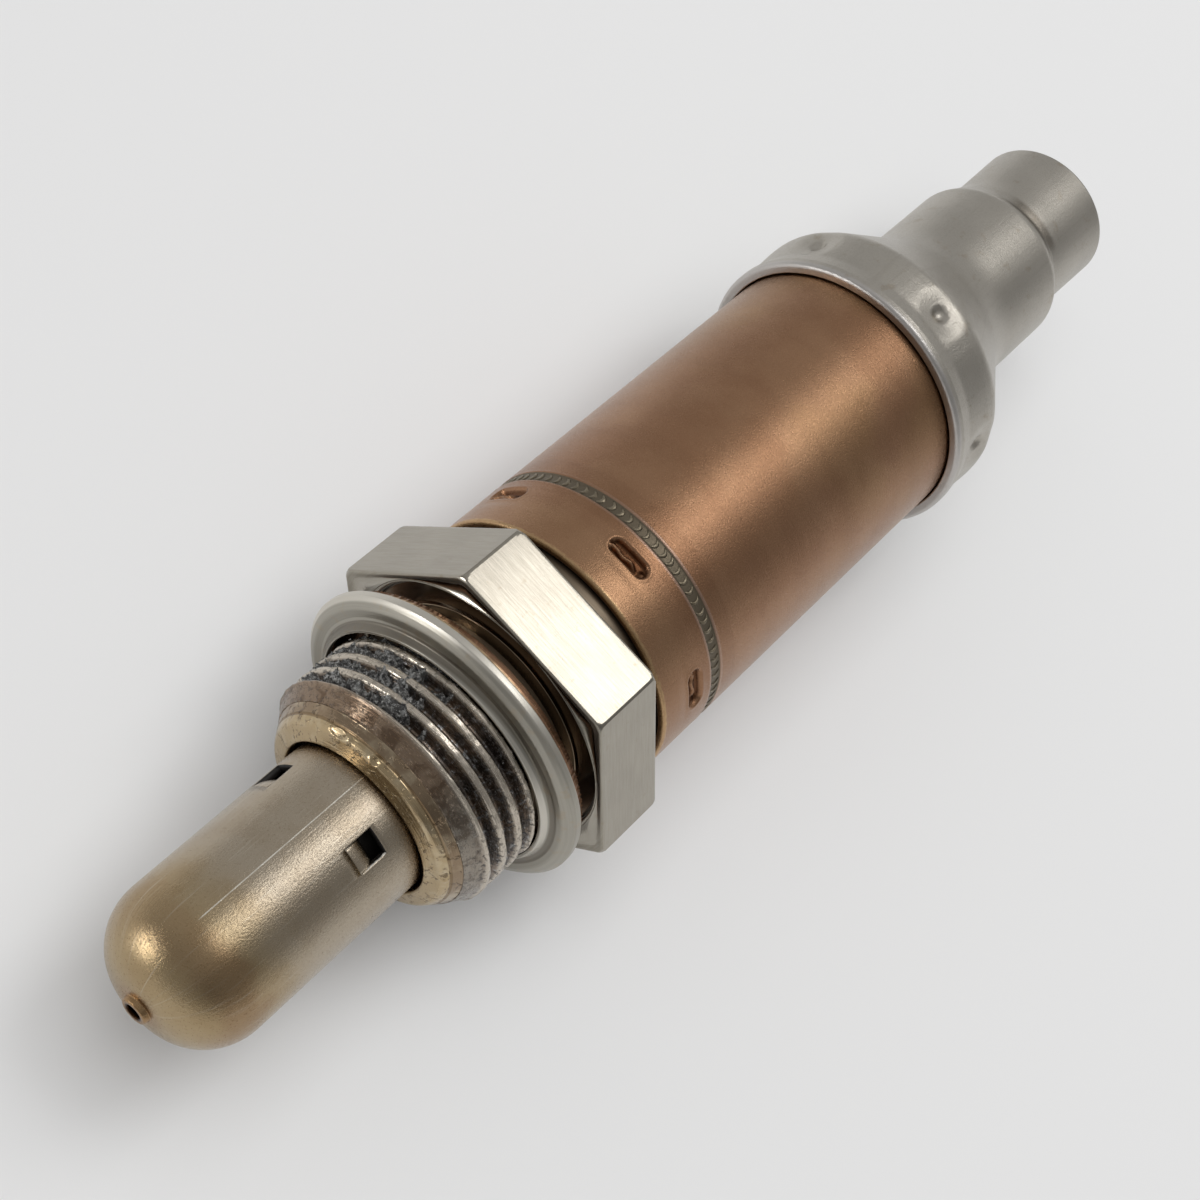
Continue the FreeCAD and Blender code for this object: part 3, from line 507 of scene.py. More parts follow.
class Turning:
    """Coordinates of a turned surface: station, radius and direction round the axis, in mm."""

    def __init__(self, graph):
        place = graph.add("ShaderNodeTexCoord", take=None).outputs["Object"]
        self.point = graph.add("ShaderNodeVectorMath", place, operation="SCALE",
                               named={"Scale": 1.0 / MM})
        self.station, side, up = graph.split(self.point)
        self.side, self.up = side, up
        self.radius = graph.math("SQRT", graph.plus(graph.times(side, side), graph.times(up, up)))
        safe = graph.math("MAXIMUM", self.radius, 0.01)
        self.across, self.above = graph.over(side, safe), graph.over(up, safe)
        self.turn = graph.times(graph.math("ARCTAN2", side, up), 180.0 / math.pi)
        self.graph = graph

    def rings(self, fineness, drift):
        """Noise in rings round the axis, as a lathe leaves it."""
        g = self.graph
        return g.noise(g.join(g.times(self.station, fineness),
                              g.times(self.radius, fineness),
                              g.times(self.across, drift)), detail=3.0, roughness=0.65)

    def streaks(self, fineness, drift):
        """Noise in lines along the axis, as drawing leaves it."""
        g = self.graph
        return g.noise(g.join(g.times(self.station, drift),
                              g.times(self.across, fineness),
                              g.times(self.above, fineness)), detail=3.0, roughness=0.65)

    def patches(self, low, high, *noise):
        """Patches with soft edges, 1 where a noise is past high."""
        return self.graph.fade(self.graph.noise(self.point, *noise), low, high)


def new_material(name):
    """The graph of an empty material."""
    material = bpy.data.materials.new(name)
    material.use_nodes = True
    material.node_tree.nodes.clear()
    return Graph(material.node_tree, material)


def turned_material(name):
    """The graph of an empty material and the coordinates of a turned surface in it."""
    graph = new_material(name)
    return graph, Turning(graph)


def close_material(graph, tint, roughness, height=None, relief=0.0, metallic=1.0, **sockets):
    """Ends a material in its surface shader, with a bump from a height in millimetres."""
    shader = graph.add("ShaderNodeBsdfPrincipled", take=None)
    graph.feed(shader.inputs["Base Color"], graph.opaque(tint))
    graph.feed(shader.inputs["Roughness"], roughness)
    graph.feed(shader.inputs["Metallic"], metallic)
    for key, value in sockets.items():
        graph.feed(shader.inputs[key.replace("_", " ")], value)
    if height is not None:
        bump = graph.add("ShaderNodeBump", take=None)
        graph.feed(bump.inputs["Strength"], 1.0)
        graph.feed(bump.inputs["Distance"], relief * MM)
        graph.feed(bump.inputs["Height"], height)
        graph.feed(shader.inputs["Normal"], bump.outputs[0])
    graph.add("ShaderNodeOutputMaterial", shader.outputs[0])
    return graph.material


def nickel_plate(colours):
    """Satin nickel on the hexagon: ground flats, turned faces, small stains, and painted shade in
    the recess behind the gasket.
    """
    g, t = turned_material("satin_nickel")
    front_face, rear_face = -4.16, -9.64
    on_face = g.plus(g.math("GREATER_THAN", t.station, front_face),
                     g.math("LESS_THAN", t.station, rear_face))
    ground = g.noise(g.join(g.times(t.station, 9.0), g.times(t.side, 0.35), g.times(t.up, 0.35)),
                     detail=4.0, roughness=0.7)
    turned_marks = t.rings(7.0, 0.8)
    marks = g.plus(g.times(ground, g.minus(1.0, on_face)), g.times(turned_marks, on_face))
    cloud = g.noise(t.point, 0.35, 3.0)
    stain = t.patches(0.60, 0.72, 1.6, 5.0, 0.6)
    tint = g.mix(g.rescale(cloud, 0.35, 0.65), toned(colours.nickel, 0.93), colours.nickel)
    tint = g.stain(tint, (0.80, 0.78, 0.74), g.rescale(marks, 0.35, 0.62, 0.55, 0.0))
    tint = g.stain(tint, (0.72, 0.62, 0.48), stain, 0.35)
    # painted shade: brown darkening of the recess and undercut inside the hexagon, behind the
    # gasket
    painted_recess_shade = g.band(t.radius, 7.0, 9.75, 0.25)
    tint = g.stain(tint, (0.50, 0.36, 0.24), painted_recess_shade, 0.75)
    rough = g.plus(g.spread(marks, 0.22, 0.14), g.times(on_face, 0.24))
    return close_material(g, tint, rough, marks, 0.007)


def thread_steel(colours):
    """Bright crests over dark grooves, going by radius, with specks of paste."""
    g, t = turned_material("thread_steel")
    crest_jitter = g.noise(t.point, 1.4, 4.0, 0.6)
    crest = g.fade(g.plus(t.radius, g.times(crest_jitter, 0.24)), 8.74, 9.04)
    brown = g.mix(t.patches(0.38, 0.66, 0.7, 3.0), colours.groove, (0.19, 0.145, 0.11))
    glint = t.patches(0.55, 0.62, 3.0, 5.0, 0.7)
    brown = g.lay(brown, (0.46, 0.47, 0.48), glint, 0.75)
    tint = g.mix(crest, brown, colours.thread)
    land = g.times(g.fade(t.station, 4.62, 4.95), g.rescale(t.radius, 8.0, 8.1))
    side = g.fade(t.turn, 10.0, 40.0)
    tint = g.lay(tint, g.mix(side, (0.27, 0.195, 0.135), (0.31, 0.275, 0.23)), land, 0.9)
    smear = t.patches(0.46, 0.62, 0.9, 5.0, 0.6, 0.8)
    tint = g.stain(tint, (0.42, 0.36, 0.32), smear, land, 0.7)
    speck = t.patches(0.55, 0.61, 3.6, 4.0, 0.65)
    away = g.plus(g.fade(t.turn, 12.0, 38.0),
                  g.fade(t.turn, -8.0, -22.0))
    dirt = g.times(speck, g.rescale(t.radius, 8.7, 9.0, 1.0, 0.30),
                   g.rescale(away, 0.0, 1.0, 0.25, 1.0), g.rescale(land, 0.0, 1.0, 1.0, 0.3))
    tint = g.lay(tint, (0.035, 0.036, 0.04), dirt, 0.85)
    rings = t.rings(10.0, 2.0)
    rough = g.plus(g.spread(rings, 0.16, 0.32), g.times(dirt, 0.2))
    metallic = g.minus(1.0, g.times(dirt, 0.7))
    return close_material(g, tint, rough, g.plus(rings, g.times(dirt, 3.0)), 0.03, metallic)


def lip_steel(colours):
    """Heat-tinted lip, golden on its nose and brown next to the thread."""
    g, t = turned_material("tinted_lip")
    brown = g.fade(t.station, 6.58, 6.35)
    tint = g.lay(colours.lip, (0.26, 0.19, 0.13), brown, 0.85)
    pale = t.patches(0.48, 0.68, 0.9, 3.0)
    tint = g.lay(tint, (0.62, 0.53, 0.38), pale, 0.4)
    smear = t.patches(0.57, 0.66, 2.2, 4.0, 0.6, 0.6)
    tint = g.lay(tint, (0.13, 0.085, 0.05), smear, 0.5)
    # painted shade: a thin dark ring in the small step between the golden nose and the brown band
    painted_groove_shade = g.band(t.station, 6.44, 6.56, 0.05)
    tint = g.stain(tint, (0.35, 0.27, 0.2), painted_groove_shade, 0.6)
    rings = t.rings(5.0, 1.5)
    rough = g.spread(rings, 0.15, 0.28)
    return close_material(g, tint, rough, g.plus(rings, g.times(smear, 1.5)), 0.03)


def dried_paste(colours):
    """Dark grey paste with metal dust that also stands in for painted glints, and painted shade in
    its pits, shiny where it is thick.
    """
    g, t = turned_material("dried_paste")
    grain = g.noise(t.point, 3.4, 5.0, 0.68, 0.4)
    tint = g.mix(g.fade(grain, 0.47, 0.60), colours.paste, (0.50, 0.50, 0.49))
    # painted shade: near-black spots that stand in for the shade in the paste's pits
    painted_pit_shade = t.patches(0.46, 0.38, 2.3, 4.0, 0.6)
    tint = g.lay(tint, (0.02, 0.02, 0.022), painted_pit_shade, 0.85)
    # light specks: metal dust, and painted glints as well
    dust_and_glints = t.patches(0.56, 0.62, 5.0, 3.0)
    tint = g.lay(tint, (0.74, 0.73, 0.70), dust_and_glints, 0.6)
    rough = g.rescale(grain, 0.35, 0.65, 0.12, 0.34)
    return close_material(g, tint, rough, grain, 0.42, 0.75)


def gasket_steel(colours):
    """Satin pressed steel with fine rings and small tarnish marks, painted shade in its hollow and
    painted highlights on its rims.
    """
    g, t = turned_material("gasket_steel")
    rings = t.rings(6.0, 1.2)
    tarnish = t.patches(0.54, 0.70, 1.1, 4.0, 0.6)
    tint = g.mix(g.rescale(rings, 0.35, 0.65), toned(colours.gasket, 0.86), colours.gasket)
    tint = g.lay(tint, (0.40, 0.33, 0.24), tarnish, 0.45)
    # painted shade: a darker band in the dished hollow of the front leaf
    hollow = g.band(t.radius, 9.62, 9.98, 0.12)
    tint = g.stain(tint, (0.40, 0.37, 0.34), hollow, 0.75)
    # painted highlights: light bands along the inner and outer rims
    edges = g.plus(g.band(t.radius, 9.28, 9.46, 0.05),
                   g.fade(t.radius, 11.28, 11.42))
    tint = g.lay(tint, (0.78, 0.74, 0.66), edges, 0.6)
    rough = g.spread(rings, 0.30, 0.46)
    return close_material(g, tint, rough, rings, 0.015)


def fold_steel(colours):
    """Copper-brown rear leaf of the gasket with a thin golden edge."""
    g, t = turned_material("tinted_fold")
    rings = t.rings(6.0, 1.5)
    edge = g.times(g.band(t.station, -1.75, -1.35, 0.12), g.rescale(t.radius, 10.7, 10.9))
    tint = g.lay(colours.fold, (0.62, 0.47, 0.29), edge, 0.7)
    dull = t.patches(0.42, 0.66, 1.3, 3.0)
    tint = g.lay(tint, (0.17, 0.10, 0.06), dull, 0.5)
    # painted shade: darker towards the inside, where the leaf lies in the shadowed gap next to the
    # hexagon
    tint = g.stain(tint, (0.25, 0.2, 0.16), g.rescale(t.radius, 10.6, 9.8), 0.8)
    return close_material(g, tint, g.spread(rings, 0.22, 0.38), rings, 0.02)


def tube_steel(colours):
    """Drawn steel tube, warm grey, brown towards the golden dome, with fine speckle."""
    g, t = turned_material("heated_tube_steel")
    drawn = t.streaks(26.0, 0.15)
    speck = g.noise(t.point, 7.0, 4.0, 0.7)
    cloud = g.noise(t.point, 0.32, 3.0, 0.55)
    place = g.plus(t.station, g.times(g.minus(cloud, 0.5), 3.0))
    tint = g.mix(g.fade(place, 15.5, 21.5), colours.tube, colours.dome)
    brown = g.times(g.band(place, 21.3, 22.6, 1.6), g.rescale(t.turn, -50.0, 20.0, 0.35, 1.0))
    tint = g.stain(tint, (0.74, 0.62, 0.60), brown, 0.6)
    tint = g.stain(tint, (0.66, 0.60, 0.54), g.rescale(speck, 0.52, 0.68, 0.0, 0.5))
    # a thin near-white line along the tube, partly a scratch and partly a painted highlight at the
    # streak's edge
    scratch_and_highlight = g.times(g.band(g.plus(t.turn, g.times(t.station, 0.03)), -13.0, -12.5, 0.25),
                      g.band(t.station, 6.0, 20.3, 0.8),
                      g.rescale(t.streaks(3.0, 0.9), 0.3, 0.6, 0.5, 1.0))
    tint = g.lay(tint, (1.0, 0.96, 0.86), scratch_and_highlight, 0.8)
    tint = g.stain(tint, (0.80, 0.74, 0.66), g.rescale(cloud, 0.45, 0.62, 0.0, 0.35))
    bright = g.fade(drawn, 0.58, 0.70)
    tint = g.lay(tint, (0.74, 0.68, 0.58), bright, 0.25)
    root = g.fade(t.station, 8.2, 7.4)
    tint = g.stain(tint, (0.55, 0.44, 0.33), root, 0.5)
    scorch = g.fade(g.plus(t.radius, g.times(cloud, 1.4)), 3.0, 1.3)
    tint = g.stain(tint, (0.80, 0.56, 0.40), scorch, 0.7)
    nozzle = g.fade(t.radius, 0.8, 0.6)
    tint = g.stain(tint, (0.10, 0.07, 0.05), nozzle)
    rough = g.spread(speck, 0.17, 0.31)
    return close_material(g, tint, rough, g.plus(speck, g.times(drawn, 0.5)), 0.022)


def cut_steel(name, tint, roughness, metallic=1.0):
    """Steel at the cut edges, lightened there partly as a painted highlight, and in the soot of the
    louvres, whose near-black is partly painted shade.
    """
    g, t = turned_material(name)
    grain = g.noise(t.point, 6.0, 3.0, 0.6)
    shade = g.mix(g.rescale(grain, 0.4, 0.65), tint, toned(tint, 0.7))
    return close_material(g, shade, g.spread(grain, roughness, roughness + 0.15), grain, 0.02,
                          metallic)


def sleeve_copper(colours):
    """Copper-brown plated sleeve: fine grain, turned lines and darker clouds of heat tint."""
    g, t = turned_material("copper_brown_sleeve")
    grain = g.noise(t.point, 8.0, 4.0, 0.7)
    rings = t.rings(5.0, 1.0)
    cloud = g.noise(t.point, 0.16, 4.0, 0.55)
    tint = g.mix(g.fade(cloud, 0.38, 0.62),
                 toned(colours.sleeve, 0.93, 0.90, 0.88), toned(colours.sleeve, 1.05, 1.06, 1.06))
    tint = g.stain(tint, (0.68, 0.62, 0.56), g.rescale(grain, 0.50, 0.68, 0.0, 0.45))
    bands = g.rescale(g.noise(g.join(g.times(t.station, 0.5))), 0.4, 0.6)
    tint = g.stain(tint, (0.80, 0.78, 0.78), bands, 0.22)
    front = g.band(t.station, -13.6, -11.0, 1.5)
    tint = g.lay(tint, (0.45, 0.30, 0.16), front, 0.10)
    scuffed = g.noise(g.join(g.times(t.station, 3.0), t.side, t.up), 2.0, 4.0, 0.7)
    edge = g.times(g.fade(g.plus(t.station, g.times(scuffed, 0.4)), -11.30, -11.14),
                   g.rescale(scuffed, 0.35, 0.6, 0.5, 1.0))
    tint = g.lay(tint, (0.56, 0.38, 0.20), edge, 0.8)
    golden = t.patches(0.42, 0.62, 0.11, 2.0)
    tint = g.stain(tint, (0.97, 1.0, 0.90), golden, g.rescale(t.station, -26.0, -38.0), 0.8)
    heat = g.band(t.station, -18.6, -15.6, 0.5)
    tint = g.stain(tint, (0.72, 0.68, 0.66), heat, 0.35)
    # light pinkish lines beside the seam, lighter towards the top as a painted glint
    border_and_glint = g.band(t.station, -17.42, -16.12, 0.08)
    tint = g.lay(tint, (0.50, 0.37, 0.31), border_and_glint, g.rescale(t.turn, -40.0, 0.0, 0.05, 0.4))
    seam = g.band(t.station, -17.24, -16.30, 0.05)
    tint = g.mix(seam, tint, toned(colours.seam, 0.7))
    # painted shade: the dents' sunk floors darkened, in front of the seam
    sunk = g.times(g.fade(t.radius, 10.38, 10.12),
                   g.math("GREATER_THAN", t.station, -16.2))
    tint = g.stain(tint, (0.33, 0.25, 0.20), sunk, 0.9)
    rough = g.plus(g.spread(grain, 0.24, 0.35), g.times(seam, 0.12))
    return close_material(g, tint, rough, g.plus(grain, g.times(rings, 0.5)), 0.02)


def seam_oxide(colours):
    """Greenish-grey oxide on the weld ripples, lighter on their crests as a painted highlight."""
    g, t = turned_material("seam_oxide")
    grain = g.noise(t.point, 6.0, 4.0, 0.6)
    # painted highlight: the ripples' crests lighter, their troughs darker
    crest = g.fade(t.radius, 10.42, 10.485)
    tint = g.lay(toned(colours.seam, 0.55), (0.34, 0.29, 0.21), crest, 0.7)
    tint = g.stain(tint, (0.5, 0.47, 0.4), g.rescale(grain, 0.45, 0.68, 0.0, 0.6))
    return close_material(g, tint, g.spread(grain, 0.28, 0.48), grain, 0.03)


def cap_steel(colours):
    """Pressed stainless cap: soft grain, faint drawing streaks and small stains."""
    g, t = turned_material("pressed_cap_steel")
    grain = g.noise(t.point, 6.0, 4.0, 0.7)
    drawn = t.streaks(18.0, 0.08)
    cloud = g.noise(t.point, 0.22, 3.0)
    tint = g.mix(g.rescale(cloud, 0.38, 0.62), toned(colours.cap, 0.92), colours.cap)
    tint = g.stain(tint, (0.76, 0.74, 0.70), g.rescale(grain, 0.50, 0.70, 0.0, 0.35))
    tint = g.stain(tint, (0.80, 0.78, 0.76), g.rescale(drawn, 0.55, 0.72, 0.0, 0.3))
    rim = g.fade(t.station, -45.55, -45.25)
    tint = g.lay(tint, (0.62, 0.60, 0.61), rim, 0.4)
    # painted shade: a darker patch in the crease on top of the neck
    painted_crease_shade = g.times(g.band(t.station, -68.4, -67.3, 0.5), g.band(t.turn, -12.0, 24.0, 14.0))
    tint = g.stain(tint, (0.35, 0.32, 0.29), painted_crease_shade, 0.7)
    stain = t.patches(0.60, 0.70, 0.8, 5.0, 0.6)
    tint = g.stain(tint, (0.76, 0.66, 0.54), stain, 0.4)
    rough = g.spread(grain, 0.28, 0.40)
    return close_material(g, tint, rough, g.plus(grain, g.times(drawn, 0.6)), 0.025)


def ceramic(name, tint, soot_and_shade=0.0):
    """Fired ceramic with a faint grain, and soot on the end that stands in the exhaust, its
    near-black also painted shade inside the tube.
    """
    g, t = turned_material(name)
    grain = g.noise(t.point, 3.0, 4.0, 0.6)
    shade = g.mix(g.rescale(grain, 0.35, 0.65), toned(tint, 0.88), tint)
    # near-black front end: soot, and painted shade for the thimble seen through the louvres
    sooted_and_shaded = g.times(g.fade(g.plus(t.station, grain), 4.0, 7.0), soot_and_shade)
    shade = g.mix(sooted_and_shaded, shade, (0.018, 0.016, 0.014))
    return close_material(g, shade, g.spread(grain, 0.45, 0.62), grain, 0.02, 0.0)


def strip_steel(name, tint):
    """Stamped contact steel with drawn lines."""
    g, t = turned_material(name)
    lines = g.noise(g.join(g.times(t.station, 0.4), g.times(t.side, 6.0), g.times(t.up, 6.0)),
                    detail=3.0)
    shade = g.mix(g.rescale(lines, 0.35, 0.65), toned(tint, 0.82), tint)
    return close_material(g, shade, g.spread(lines, 0.22, 0.36), lines, 0.01)


def moulded_rubber(colours):
    """Dark heat-proof rubber with a fine moulded grain."""
    g, t = turned_material("moulded_rubber")
    grain = g.noise(t.point, 7.0, 5.0, 0.65)
    shade = g.mix(g.rescale(grain, 0.4, 0.65), colours.grommet, toned(colours.grommet, 1.9))
    return close_material(g, shade, g.spread(grain, 0.55, 0.72), grain, 0.05, 0.0)


# Geometry trees -----------------------------------------------------------------------------


SOCKET_KINDS = {float: "NodeSocketFloat", int: "NodeSocketInt", type(None): "NodeSocketMaterial"}


def new_tree(name, inputs):
    """A geometry tree with named inputs, each of its default's kind."""
    tree = bpy.data.node_groups.new(name, "GeometryNodeTree")
    tree.interface.new_socket("Geometry", in_out="INPUT", socket_type="NodeSocketGeometry")
    for label, value in inputs.items():
        socket = tree.interface.new_socket(label, in_out="INPUT",
                                           socket_type=SOCKET_KINDS[type(value)])
        if value is not None:
            socket.default_value = value
    tree.interface.new_socket("Geometry", in_out="OUTPUT", socket_type="NodeSocketGeometry")
    graph = Graph(tree)
    return tree, graph, graph.add("NodeGroupInput", take=None).outputs


def end_tree(graph, geometry, material):
    """Ends a tree in Realize Instances and Set Material."""
    geometry = graph.add("GeometryNodeRealizeInstances", geometry)
    geometry = graph.add("GeometryNodeSetMaterial", named={
        "Geometry": geometry, "Material": material})
    graph.feed(graph.tree.nodes.new("NodeGroupOutput").inputs[0], geometry)


def apply_tree(piece, tree, values):
    """Runs a geometry tree on a piece with values by input name, and keeps the result."""
    modifier = piece.modifiers.new(tree.name, "NODES")
    modifier.node_group = tree
    for item in tree.interface.items_tree:
        if item.item_type == "SOCKET" and item.in_out == "INPUT" and item.name in values:
            modifier[item.identifier] = values[item.name]
    settle(piece)


def polar(graph):
    """A point's place, station, side, height, radius and turn (-0.5...0.5) in a geometry tree."""
    place = graph.add("GeometryNodeInputPosition")
    station, side, up = graph.split(place)
    radius = graph.math("SQRT", graph.plus(graph.times(side, side), graph.times(up, up)))
    turn = graph.times(graph.math("ARCTAN2", side, up), 1 / FULL_TURN)
    return place, station, side, up, radius, turn


def set_radius(graph, geometry, selection, station, side, up, radius, wanted):
    """Moves the selected points straight out or in to the wanted radius."""
    ratio = graph.over(wanted, radius)
    place = graph.join(station, graph.times(side, ratio), graph.times(up, ratio))
    return graph.add("GeometryNodeSetPosition", named={
        "Geometry": geometry, "Selection": selection, "Position": place})


def thread_tree():
    """Rule of a right-hand thread that fades out at both ends."""
    tree, g, given = new_tree("thread_rule", {
        "Pitch": 0.0015, "Crest Radius": 0.009, "Root Radius": 0.0081, "Crest Station": 0.0,
        "Phase": 0.0, "Back End": 0.0, "Front End": 0.006, "Run-out": 0.0007,
        "Back Radius": 0.00805, "Front Radius": 0.00815, "Land Station": 0.0047,
        "Land Radius": 0.00885, "Material": None})
    place, station, side, up, radius, turn = polar(g)
    lead = g.over(g.minus(station, given["Crest Station"]), given["Pitch"])
    positive = 64.5  # whole turns that keep the phase above 0, and half a turn to the crest
    phase = g.math("FRACT", g.plus(lead, turn, g.times(given["Phase"], -1.0), positive))
    away = g.math("ABSOLUTE", g.minus(phase, 0.5))
    height = g.rescale(away, 0.43, 0.12)
    from_back = g.over(g.minus(station, given["Back End"]), given["Run-out"])
    begins = g.minus(given["Land Station"],
                    g.times(g.over(side, radius), given["Pitch"], 1 / FULL_TURN))
    past = g.minus(station, begins)
    start, end = g.rescale(from_back, 0.0, 1.0), g.rescale(past, 0.0003, 0.0)
    worn = g.noise(g.add("ShaderNodeVectorMath", place, operation="SCALE",
                         named={"Scale": 900.0}), 1.0, 2.0)
    root = g.plus(g.between(given["Root Radius"], given["Back Radius"], g.minus(1.0, start)),
                  g.times(g.minus(given["Front Radius"], given["Root Radius"]), g.minus(1.0, end)))
    rise = g.times(g.minus(given["Crest Radius"], given["Root Radius"]), height, start, end)
    wanted = g.plus(root, g.times(rise, g.rescale(worn, 0.3, 0.75, 1.0, 0.90)))
    rising = g.between(given["Root Radius"], given["Land Radius"],
                       g.fade(past, -0.00022, 0.0))
    along = g.over(past, g.minus(given["Front End"], begins))
    falling = g.between(given["Land Radius"], given["Front Radius"], g.rescale(along, 0.0, 1.0))
    wanted = g.math("MAXIMUM", wanted, g.math("MINIMUM", rising, falling))
    outside = g.math("GREATER_THAN", radius, g.minus(given["Root Radius"], 0.0001))
    geometry = set_radius(g, given["Geometry"], outside, station, side, up, radius, wanted)
    end_tree(g, geometry, given["Material"])
    return tree


def paste_tree():
    """Rule of the paste: a shell raised in lumps by noise, thickest on one side."""
    tree, g, given = new_tree("paste_rule", {
        "Level": 0.0084, "Lump": 0.0006, "Limit": 0.00905, "Seed": 3.0, "Middle": -1.3,
        "Material": None})
    buried = 0.0078  # radius at which the shell is inside the thread's root
    place, station, side, up, radius, turn = polar(g)
    scaled = g.add("ShaderNodeVectorMath", place, operation="SCALE", named={"Scale": 1000.0})
    shifted = g.add("ShaderNodeVectorMath", scaled, g.join(given["Seed"]), operation="ADD")
    broad = g.noise(shifted, 1.0, 2.0)
    fine = g.noise(shifted, 3.2, 3.0, 0.65)
    facing = g.math("COSINE", g.minus(g.times(turn, FULL_TURN), given["Middle"]))
    thick = g.fade(g.plus(facing, g.times(g.minus(broad, 0.5), 1.1)), 0.36, 0.62)
    lumps = g.plus(g.rescale(broad, 0.36, 0.64, -0.6, 0.7), g.spread(fine, -0.6, 0.7))
    height = g.times(lumps, given["Lump"])
    edge = g.times(g.fade(station, -0.0006, -0.0002),
                   g.fade(station, 0.0049, 0.0040), thick)
    wanted = g.between(buried, g.plus(given["Level"], height), edge)
    wanted = g.math("MINIMUM", wanted, given["Limit"])
    outside = g.math("GREATER_THAN", radius, 0.0081)
    geometry = set_radius(g, given["Geometry"], outside, station, side, up, radius, wanted)
    end_tree(g, geometry, given["Material"])
    return tree


def ring_tree():
    """Copies of one piece round the axis, with uneven spacing and size from a seed."""
    tree, g, given = new_tree("copies_round_axis", {
        "Count": 6, "First Angle": 0.0, "Angle Spread": 0.0, "Size Spread": 0.0, "Seed": 1,
        "Material": None})
    points = g.add("GeometryNodePoints", given["Count"])
    index = g.add("GeometryNodeInputIndex")
    drawn = g.add("FunctionNodeRandomValue", take=1, data_type="FLOAT", named={
        "Seed": given["Seed"]})
    uneven = g.times(g.minus(drawn, 0.5), 2.0)
    step = g.over(-FULL_TURN, given["Count"])
    turn = g.plus(g.times(index, step), g.times(given["First Angle"], -1.0),
                  g.times(uneven, given["Angle Spread"]))
    rotation = g.add("FunctionNodeEulerToRotation", g.join(turn))
    other = g.add("FunctionNodeRandomValue", take=1, data_type="FLOAT", named={
        "Seed": g.math("ADD", given["Seed"], 5.0)})
    size = g.minus(1.0, g.times(other, given["Size Spread"]))
    copies = g.add("GeometryNodeInstanceOnPoints", named={
        "Points": points, "Instance": g.add("GeometryNodeGeometryToInstance", given["Geometry"]),
        "Rotation": rotation, "Scale": g.join(1.0, size, size)})
    end_tree(g, copies, given["Material"])
    return tree


# Pieces -------------------------------------------------------------------------------------


def hex_radius(sizes, turn, inset):
    """Radius of the hexagon's outline, rounded at its corners and inset by a little."""
    flats, rounding = in_mm(sizes, "hex_flats", "corner_round")
    flat = flats / 2
    sector = np.abs((turn + 30.0) % 60.0 - 30.0)
    from_corner = np.radians(30.0 - sector)
    centre = (flat - rounding) / math.cos(math.pi / 6)
    straight = flat / np.cos(np.radians(sector))
    inside = np.clip(rounding ** 2 - (centre * np.sin(from_corner)) ** 2, 0.0, None)
    curved = centre * np.cos(from_corner) + np.sqrt(inside)
    tangent = math.atan2(rounding * 0.5, centre + rounding * math.cos(math.pi / 6))
    outline = np.where(from_corner < tangent, np.minimum(curved, straight), straight)
    return outline - inset


class SENSOR_OT_hexagon(bpy.types.Operator):
    """Build the hexagon with its turned recess, undercut and collar"""
    bl_idname = "sensor.hexagon"
    bl_label = "Hexagon"

    def execute(self, context):
        sizes = context.scene.sensor_body_sizes
        front, back, corner_radius = in_mm(sizes, "hex_front", "hex_back", "corner_radius")
        on_outline = 50.0  # rows of the hexagon's outline have this radius plus their inset
        face_radius = 12.42  # turned outside of the hexagon at its two faces
        profile = trace([
            (front, 10.42, 0.06), (-4.97, 9.86, 0.1), (-5.0, 8.3, 0.08), (-4.9, 8.05, 0.15),
            (-0.72, 8.05, 0.0), (-0.7, 7.2, 0.0), (2.2, 6.6, 0.0), (-1.9, 6.6, 0.0),
            (-18.3, 6.6, 0.0), (-18.3, 9.82, 0.2), (back, 9.82, 0.05)])
        edge = [(0.0, 0.30), (0.0, 0.13), (0.03, 0.06), (0.08, 0.02), (0.16, 0.0), (0.32, 0.0),
                (0.7, 0.0)]
        rows = profile + [(back + x, on_outline + inset, 0) for x, inset in edge]
        rows += [(front - x, on_outline + inset, 0) for x, inset in reversed(edge)]

        def hexagonal(station, radius, turn):
            """The hexagon's outline with its corners turned off, more so towards its faces."""
            inset = radius - on_outline
            from_face = np.minimum(station - back, front - station)
            limit = np.minimum(face_radius + from_face - inset * 0.5, corner_radius)
            outline = np.minimum(hex_radius(sizes, turn, inset), limit)
            return station, np.where(inset >= 0, outline, radius)

        corners = [30.0 + 60.0 * k for k in range(6)]
        angles = ring_angles(300, corners, 2.4, 0.17)
        piece = turned("hexagon_body", rows, angles,
                       [nickel_plate(context.scene.sensor_finishes)], hexagonal)
        belongs(piece, "sensor_body")
        return {"FINISHED"}


class SENSOR_OT_thread(bpy.types.Operator):
    """Cut the thread on the shank by its rule"""
    bl_idname = "sensor.thread"
    bl_label = "Thread"

    def execute(self, context):
        sizes = context.scene.sensor_body_sizes
        back, front = -0.75, 5.85
        undercut, first_turn = 8.05, 8.12  # radii that the thread starts from and ends at
        profile = trace([(back, 7.3), (back, 8.2), (front, 8.2), (front, 7.3)],
                        step=lambda x, r: 0.055 if r > 8.1 else COARSE)
        piece = turned("threaded_shank", profile, ring_angles(400), [])
        apply_tree(piece, thread_tree(), {
            "Pitch": sizes.thread_pitch, "Crest Radius": sizes.thread_crest,
            "Root Radius": sizes.thread_root, "Crest Station": sizes.thread_phase,
            "Phase": sizes.thread_angle / FULL_TURN, "Back End": back * MM,
            "Front End": front * MM, "Run-out": sizes.thread_runout,
            "Back Radius": undercut * MM, "Front Radius": first_turn * MM,
            "Land Station": sizes.land_station, "Land Radius": sizes.land_radius,
            "Material": thread_steel(context.scene.sensor_finishes)})
        belongs(piece, "sensor_body")
        return {"FINISHED"}


